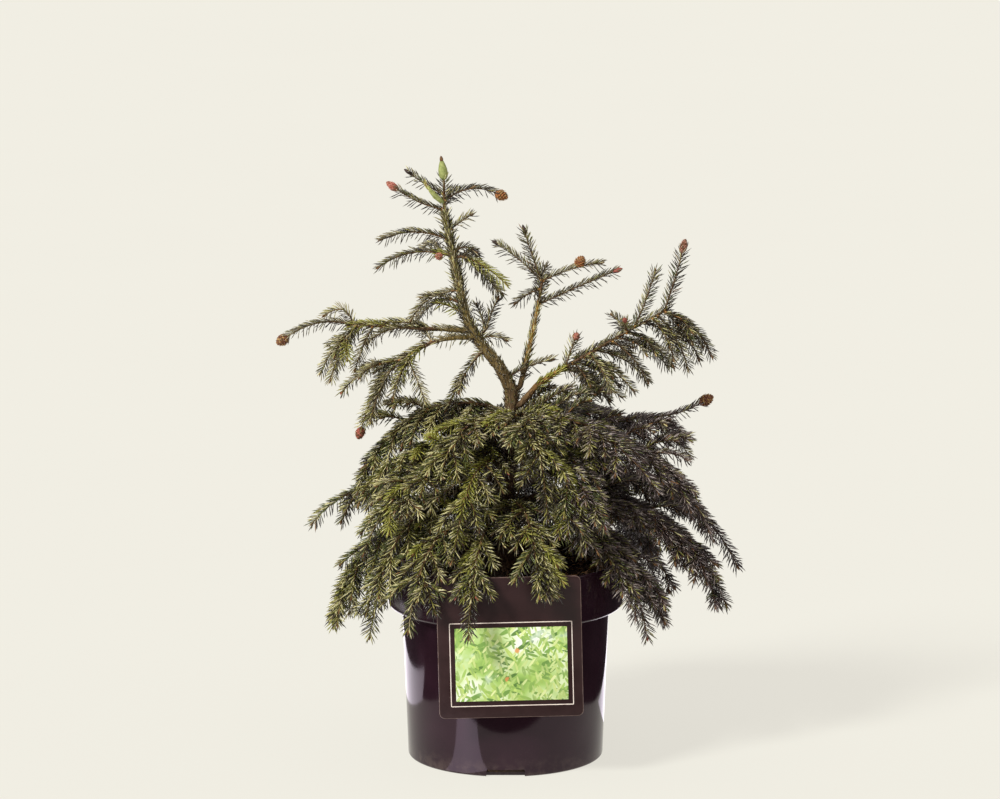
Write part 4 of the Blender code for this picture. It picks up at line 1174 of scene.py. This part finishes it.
def tonesOf(shoot, base, over, shares, rng):
    # painted light and shade: paler and yellower at the left and front, painted shade in umber at the lower right,
    # grey-green in the open crown, with every needle its own tone and the upper ones painted paler as if lit from
    # above
    count = len(base)
    x, y, z = base[:, 0], base[:, 1], base[:, 2]
    if shoot.end == "fresh":
        return np.where(rng.random(count) < 0.7, slotOf["Fresh"], slotOf["Young"])
    # painted light: paler towards the left, front and top and on each shoot's upper side; the upper crown is toned
    # down again
    lit = 0.27 - 1.15 * x - 0.9 * y + 0.4 * (z - 0.25) + rng.normal(0.0, 0.14) + rng.normal(0.0, 0.32, count)
    lit += 0.32 * over - 0.18 * np.clip((z - 0.42) / 0.08, 0.0, 1.0)
    # a shoot is darker at its foot, and painted shade darkens it again deep inside the skirts
    inner = np.clip((0.085 - np.hypot(x, y)) / 0.085, 0.0, 1.0) * np.clip((0.34 - z) / 0.05, 0.0, 1.0)
    lit += 0.26 * (shares - 0.55) - 0.4 * inner
    mood = rng.random()
    if mood < 0.12 and y.mean() < 0.0 and x.mean() < 0.075:
        # the newest growth of a few shoots is bright
        fresh = np.where(rng.random(count) < 0.5, slotOf["Fresh"], slotOf["Lime"])
        return np.where(rng.random(count) < 0.25 + shares, fresh, np.digitize(lit, (0.2, 0.5)) + slotOf["Moss"])
    if shoot.end in ("stem", "young"):
        lit += 0.16
    # painted shade: dusk, umber and haze tones at the lower right, away from the key light
    paintedShadeShare = np.clip((x - 0.03) / 0.09, 0.0, 1.0) * np.clip((0.36 - z) / 0.06, 0.0, 0.66)
    greyShare = np.clip((z - 0.3) / 0.1, 0.1, 0.62) + rng.normal(0.0, 0.12)
    draw = rng.random(count)
    # each ladder of shaded and lit copies is picked by the painted light
    green = np.digitize(lit, (0.16, 0.34, 0.52, 0.72, 0.92))
    grey = np.digitize(lit, (0.34, 0.66)) + slotOf["Slate"]
    shadeLadder = np.digitize(lit, (0.22, 0.52)) + slotOf["Dusk"]
    if mood > 0.72:
        # some shoots are a cooler green
        green = np.where((green == slotOf["Moss"]) | (green == slotOf["Leaf"]), slotOf["Fern"], green)
    slots = np.where(draw < paintedShadeShare, shadeLadder, np.where(draw < paintedShadeShare + greyShare, grey, green))
    return np.where(rng.random(count) < 0.004, slotOf["Dry"], slots)


def needlesOf(shoot, rng):
    length = shoot.length()
    opened, fresh, onStem = shoot.owner in openOwners, shoot.end == "fresh", shoot.end == "stem"
    count = max(int(length * needle["perMetre"] * shoot.needles * (1.0 if shoot.rank else 0.8)), 6)
    shares = (np.arange(count) + 0.5 + rng.uniform(-0.4, 0.4, count)) / count
    shares = shoot.bare + (1.0 - shoot.bare) * np.clip(shares, 0.0, 1.0)
    points, forward = alongPath(shoot.path, shares)
    steep = np.abs(forward[:, 2])
    # more needles grow on the upper side of a level shoot
    turns = np.arange(count) * turnStep + rng.normal(0.0, 0.18, count)
    turns -= 0.38 * np.sin(turns) * (1.0 - steep ** 2)
    lifted = np.array([0.0, 0.0, 1.0]) - forward * forward[:, 2:3]
    spare = np.array([0.0, -1.0, 0.0]) - forward * (-forward[:, 1:2])
    topward = unitRows(np.where(steep[:, None] > 0.96, spare, lifted))
    cosine, sine = np.cos(turns), np.sin(turns)
    radial = topward * cosine[:, None] + np.cross(forward, topward) * sine[:, None]
    # upper needles lie close, side ones spread, lower ones hang in a comb
    sides = needle["sideAngle"]
    extreme = np.where(cosine > 0, needle["topAngle"], needle["lowAngle"])
    angle = sides + (extreme - sides) * np.abs(cosine)
    blend = np.clip(steep, 0, 1) ** 2
    angle = angle * (1 - blend) + needle["uprightAngle"] * blend
    closing = np.clip((shares - 1.0 + needle["closing"] / length) / (needle["closing"] / length), 0.0, 1.0)
    angle = angle * (1 - closing) + needle["tipAngle"] * closing
    if fresh:
        angle = np.full(count, needle["freshAngle"])
    if onStem:
        angle = needle["stemAngle"] + rng.normal(0.0, 7.0, count)
    angle = np.radians(angle + rng.normal(0.0, 3.6, count))
    aim = forward * np.cos(angle)[:, None] + radial * np.sin(angle)[:, None]
    aim[:, 2] -= 0.05 * (1 - blend)
    aim = unitRows(aim)
    size = needle["openLength" if opened else "length"]
    size = size * (1.0 + rng.normal(0.0, needle["spread"], count).clip(-0.3, 0.25))
    size *= 1.0 - 0.32 * np.clip(1.0 - shares * length / needle["growing"], 0.0, 1.0) - 0.14 * closing
    size *= np.where(cosine > 0.4, 0.88, 1.0)
    if shoot.rank == 3:
        size *= 0.92
    # the comb under a shoot is thinner, most of all in the open crown
    keep = ~((cosine < -0.55) & (blend < 0.5) & (rng.random(count) < (0.5 if opened else 0.28)))
    if onStem:
        size *= 0.86
    if fresh:
        size[:] = needle["freshLength"]
        keep[:] = True
    first, last = shoot.radii
    base = points + radial * ((first + (last - first) * shares) * 0.6)[:, None]
    width = needle["openWidth" if opened else "width"] * rng.uniform(0.86, 1.12, count)
    across = unitRows(np.cross(aim, radial))
    corners = np.radians([90.0, 210.0, 330.0])[None, :, None]
    ring = across[:, None] * np.cos(corners) + np.cross(aim, across)[:, None] * np.sin(corners)
    elbow = base + aim * (size * 0.66)[:, None] + radial * (size * 0.035)[:, None]
    tip = base + aim * size[:, None]
    verts = np.concatenate([
        base[:, None] + ring * (width * 0.62)[:, None, None],
        elbow[:, None] + ring * width[:, None, None],
        tip[:, None],
    ], axis=1)
    verts, base, over, shares = verts[keep], base[keep], cosine[keep], shares[keep]
    flat = verts.reshape(-1, 3)
    outside = np.hypot(base[:, 0], base[:, 1]) > potOuter(base[:, 2]) - 0.0012
    if flat[:, 2].min() < card["top"] + 0.001:
        flat = keepClear(flat, gap, np.repeat(outside, 7))
    return flat.reshape(-1, 7, 3), tonesOf(shoot, base, over, shares, rng)


def makeNeedles():
    finishes = []
    for tone, colour in needleTones.items():
        plain = {"Base Color": colourOf(colour), "Specular IOR Level": 0.85}
        finishes.append(makeFinish("needle" + tone, plain, lambda place: {
            "Roughness": place.noise(900.0, 2.0).between(0.25, 0.75, 0.24, 0.38),
        }))
    heapOf = {}
    for name, owners in groups.items():
        heapOf.update(dict.fromkeys(owners, Heap()))
    for number, shoot in enumerate(shoots + stems):
        if shoot.end != "teardrop":
            verts, slots = needlesOf(shoot, np.random.default_rng(seed + number))
            heapOf[shoot.owner].add(verts, needleQuads, needleTris, slots)
    for name, owners in groups.items():
        belongs(heapOf[owners[0]].make(name, finishes), "needles", *["foliage_" + owner for owner in owners])


makeNeedles()
print("needles ready")


# twigs, buds and cones: name, low tone, high tone
twigTones = (
    ("twigTan", (78, 54, 34), (122, 92, 58)), ("twigStem", (70, 48, 33), (114, 84, 54)),
    ("twigFresh", (126, 138, 76), (172, 178, 112)),
)
budTones = (
    ("scaleTan", (150, 112, 60), (196, 156, 92)), ("scaleOrange", (136, 92, 48), (184, 134, 74)),
    ("budBrown", (88, 62, 38), (136, 100, 60)), ("budRed", (118, 62, 52), (168, 94, 80)),
    ("budWithered", (44, 34, 32), (84, 66, 58)),
)
coneTones = (
    ("coneRust", (146, 88, 46), (192, 134, 80)), ("coneTan", (140, 106, 64), (192, 154, 100)),
    ("conePink", (182, 106, 96), (214, 148, 132)), ("coneRed", (142, 72, 60), (184, 108, 90)),
    ("coneBrown", (96, 60, 44), (144, 96, 68)), ("coneBlush", (146, 100, 84), (186, 138, 120)),
)
twig = {"sides": (7, 5, 5, 4), "freshSides": 12, "dropWidth": 0.0044, "freshWidth": 0.0026}
# length, width and tone of the buds that aren't plain
budKinds = {
    "redBud": (0.0075, 0.0026, 3), "withered": (0.007, 0.0019, 4),
    "fresh": (0.005, 0.0018, 2), "teardrop": (0.005, 0.0018, 2),
}
# kind: tones of the scales, radius, how far the scales stand off
coneKinds = {
    "pink": ((2, 3), 0.0044, 0.12), "rust": ((0, 1), 0.0052, 0.75), "brown": ((4, 1), 0.0058, 0.6),
    "brush": ((5, 4), 0.0034, 0.5), "redBud": ((3, 4), 0.005, 0.45), "perch": ((0, 1), 0.0052, 0.85),
}
coneScales = 58


def woody(heap, name, tones):
    plain = {"Specular IOR Level": 0.35}
    rough, relief = (600.0, 3.0, 0.2, 0.8, 0.55, 0.78), (1500.0, 4.0, 0.5, 0.0003)
    finishes = [speckled(tone, plain, (420.0, 5.0), low, high, rough, relief) for tone, low, high in tones]
    belongs(heap.make(name, finishes), "bark")


def makeTwigs():
    heap = Heap()
    for shoot in shoots:
        shares = np.linspace(0.0, 1.0, len(shoot.path))
        radii = shoot.radii[0] + (shoot.radii[1] - shoot.radii[0]) * shares
        slot, sides = 0 if shoot.rank else 1, twig["sides"][shoot.rank]
        if shoot.end in ("fresh", "teardrop"):
            # young growth is still closed, fat below the middle
            widest = twig["dropWidth"] if shoot.end == "teardrop" else twig["freshWidth"]
            radii = widest * np.sin(np.pi * (0.16 + 0.72 * shares ** 0.75)) ** 0.9
            slot, sides = 2, twig["freshSides"]
        every = 2 if shoot.rank == 3 else 1
        addTube(heap, shoot.path[::every], radii[::every], sides, slot)
    woody(heap, "twigs", twigTones)


def makeBuds():
    # bud scales round the root of each shoot and a bud on its tip
    heap = Heap()
    rng = np.random.default_rng(901)
    for shoot in shoots:
        if shoot.rank == 0:
            continue
        path, first = shoot.path, shoot.radii[0]
        forward = unitRows(path[1] - path[0])
        root = path[0] + forward * 0.0006
        golden = path[0][2] > 0.33 or rng.random() < 0.06
        widths = [first * 1.1, first * (2.1 if golden else 1.7), first * 1.15]
        slot = int(rng.integers(0, 2)) if golden else 2
        addTube(heap, [root, root + forward * 0.001, root + forward * 0.0024], widths, 5, slot)
        if shoot.cone and shoot.end != "perch":
            continue
        forward = unitRows(path[-1] - path[-2])
        size = 0.0042 * rng.uniform(0.85, 1.15)
        wide = 0.00125 * rng.uniform(0.85, 1.15)
        slot = 2 if rng.random() < 0.95 else 3
        size, wide, slot = budKinds.get(shoot.end, (size, wide, slot))
        points = path[-1] + forward * (np.array([-0.25, 0.05, 0.4, 0.78, 1.0]) * size)[:, None]
        addTube(heap, points, np.array([0.55, 0.9, 1.0, 0.62, 0.12]) * wide, 5, slot)
    woody(heap, "budScales", budTones)


def addCone(heap, seat, forward, length, kind, rng):
    # a core with scales in a spiral round it
    tones, radius, opened = coneKinds[kind]
    spare = np.eye(3)[np.argmin(np.abs(forward))]
    normal = unitRows(spare - forward * (forward @ spare))
    side = np.cross(forward, normal)
    shares = np.array([0.0, 0.12, 0.3, 0.55, 0.8, 0.95, 1.0])
    widths = np.array([0.3, 0.62, 0.84, 0.86, 0.58, 0.28, 0.05])
    addTube(heap, seat + forward * (shares * length)[:, None], widths * radius * 0.92, 10, 4)
    for scale in range(coneScales):
        share = (scale + 0.5) / coneScales
        turn = scale * turnStep
        out = normal * cos(turn) + side * sin(turn)
        level = np.cross(forward, out)
        wide = radius * 0.62 * (0.65 + 0.35 * sin(pi * share))
        reach = length * 0.22 * (1.0 - 0.25 * share)
        stand = opened * (1.0 - 0.5 * share) + rng.normal(0.0, 0.05)
        slant = unitRows(forward * (1.0 - stand * 0.6) + out * stand)
        hub = seat + forward * (length * share * 0.86) + out * float(np.interp(share, shares, widths) * radius * 0.86)
        belly = hub + slant * reach * 0.55
        outer = np.array([
            hub - level * wide * 0.35, hub + level * wide * 0.35,
            belly + level * wide * 0.55, belly - level * wide * 0.55, hub + slant * reach + out * 0.0002,
        ])
        flat = np.cross(level, slant)
        inner = outer - unitRows(flat) * 0.00035 * np.sign(flat @ out)
        quads = [(0, 1, 2, 3), (8, 7, 6, 5), (1, 0, 5, 6), (2, 1, 6, 7), (4, 2, 7, 9), (3, 4, 9, 8), (0, 3, 8, 5)]
        slot = tones[0] if rng.random() < 0.72 - 0.3 * share else tones[1]
        heap.add(np.concatenate([outer, inner]), quads, [(3, 2, 4), (7, 8, 9)], slot)


def makeCones():
    heap = Heap()
    rng = np.random.default_rng(515)
    for shoot in shoots:
        if not shoot.cone:
            continue
        forward = unitRows(shoot.path[-1] - shoot.path[-2])
        seat = shoot.path[-1] - forward * 0.003
        if shoot.end == "perch":
            # this one sits on top of its shoot, short of the tip
            seat = shoot.path[5]
            forward = unitRows(forward * 0.5 + np.array([0.0, 0.0, 1.0]))
        addCone(heap, seat, forward, shoot.cone, shoot.end, rng)
    woody(heap, "cones", coneTones)


makeTwigs()
makeBuds()
makeCones()
print("twigs, buds and cones ready")


# bark of trunk and boughs
bark = {
    "trunkSides": 30, "boughSides": 16, "ring": 0.0016, "trunkRelief": 0.00055, "boughRelief": 0.00032,
    "flareFoot": 0.177, "flareHeight": 0.016, "flare": 0.16, "buttresses": 5, "sharp": 80, "footWidth": 1.25,
}


def frameAt(point, forward, across, radius):
    placed = Matrix((across * radius, forward.cross(across) * radius, forward)).transposed().to_4x4()
    placed.translation = point
    return placed


def growBark(bm, path, radii, sides):
    # a round is extruded ring by ring along the path
    cut = [Vector(point) for point in path]
    lengths = [0.0]
    for low, high in zip(cut, cut[1:]):
        lengths.append(lengths[-1] + (high - low).length)
    count = max(int(lengths[-1] / bark["ring"]), 4)
    places = np.linspace(0.0, lengths[-1], count + 1)
    points = np.stack([np.interp(places, lengths, [p[axis] for p in cut]) for axis in range(3)], axis=1)
    for _ in range(3):
        points[1:-1] = (points[:-2] + 2 * points[1:-1] + points[2:]) / 4
    tangents = unitRows(np.gradient(points, axis=0))
    across = Vector(tangents[0]).orthogonal().normalized()
    frames = []
    for point, tangent, width in zip(points, tangents, np.interp(places, lengths, radii)):
        forward = Vector(tangent)
        across = (across - forward * across.dot(forward)).normalized()
        frames.append(frameAt(Vector(point), forward, across, width))
    ring = bmesh.ops.create_circle(bm, cap_ends=True, cap_tris=False, segments=sides, radius=1.0)["verts"]
    bmesh.ops.transform(bm, matrix=frames[0], verts=ring)
    for low, high in zip(frames, frames[1:]):
        edges = list({edge for vert in ring for edge in vert.link_edges if edge.other_vert(vert) in ring})
        made = bmesh.ops.extrude_edge_only(bm, edges=edges)["geom"]
        ring = [item for item in made if isinstance(item, bmesh.types.BMVert)]
        bmesh.ops.transform(bm, matrix=high @ low.inverted(), verts=ring)
    bmesh.ops.contextual_create(bm, geom=ring)


def roughen(bm, amount):
    # ridges and leaf-base pegs, moved out along the normals
    def relief(place, side, height):
        return noise.noise(Vector((place.x * side, place.y * side, place.z * height)))
    bm.normal_update()
    moves = []
    for vert in bm.verts:
        ridges, plates = relief(vert.co, 420, 90), relief(vert.co, 150, 210)
        pegs = max(0.0, relief(vert.co, 520, 480) - 0.15)
        moves.append(vert.normal * (amount * (0.55 * ridges + 0.6 * plates + 1.4 * pegs)))
    for vert, move in zip(bm.verts, moves):
        vert.co += move


def barkFinish():
    # scaly grey-brown bark low down, smoother golden skin on the leading stem
    def paint(place):
        across = place.part(0)
        stretched = place.moved(scale=(1.0, 1.0, 0.35))
        flakes = stretched.cells(260.0)
        grain = stretched.noise(380.0, 8.0, 0.65)
        cracks = stretched.cells(230.0, "DISTANCE_TO_EDGE").between(0.0, 0.1, 1.0, 0.0)
        old = grain.ramp((0.28, (58, 42, 32)), (0.5, (98, 74, 54)), (0.74, (146, 120, 92)))
        young = grain.ramp((0.28, (78, 66, 34)), (0.52, (114, 98, 54)), (0.76, (152, 132, 82)))
        golden = grain.ramp((0.28, (120, 84, 34)), (0.52, (164, 122, 54)), (0.76, (196, 156, 88)))
        young = (across.between(0.012, 0.03) * across.between(0.1, 0.13, 1.0, 0.0)).mixed(young, golden)
        colour = place.part(2).between(0.3, 0.42).mixed(old, young)
        colour = (cracks * 0.55).mixed(colour, (44, 31, 25))
        lichen = place.noise(70.0, 5.0).between(0.62, 0.7) * 0.35
        relief = grain * 0.6 + flakes * 0.5 - cracks * 0.7
        return {
            "Base Color": lichen.mixed(colour, (128, 132, 104)), "Roughness": grain.between(0.2, 0.8, 0.92, 0.7),
            "Normal": relief.bump(0.7, 0.0007),
        }
    return makeFinish("spruceBark", {"Specular IOR Level": 0.3}, paint)


def makeBark():
    finish = barkFinish()
    bm = bmesh.new()
    path, radii = [station[:3] for station in trunkStations], [station[3] for station in trunkStations]
    growBark(bm, path, radii, bark["trunkSides"])
    for vert in bm.verts:
        # the root flare spreads in a few soft buttresses
        flare = max(0.0, 1.0 - (vert.co.z - bark["flareFoot"]) / bark["flareHeight"])
        if flare:
            turn = atan2(vert.co.y, vert.co.x)
            factor = 1.0 + bark["flare"] * flare * cos(bark["buttresses"] * turn + 0.7)
            vert.co.x *= factor
            vert.co.y *= factor
    roughen(bm, bark["trunkRelief"])
    belongs(pieceOf("trunkBark", bm, finish, bark["sharp"]), "bark", "trunk")

    bm = bmesh.new()
    for name, path, radius, tipRadius in boughs:
        last = len(path) - 2
        radii = [radius + (tipRadius - radius) * step / last for step in range(last + 1)]
        growBark(bm, path, [radius * bark["footWidth"]] + radii, bark["boughSides"])
    roughen(bm, bark["boughRelief"])
    belongs(pieceOf("boughBark", bm, finish, bark["sharp"]), "bark", *["bough_" + name for name, *_ in boughs])


makeBark()
print("bark ready")
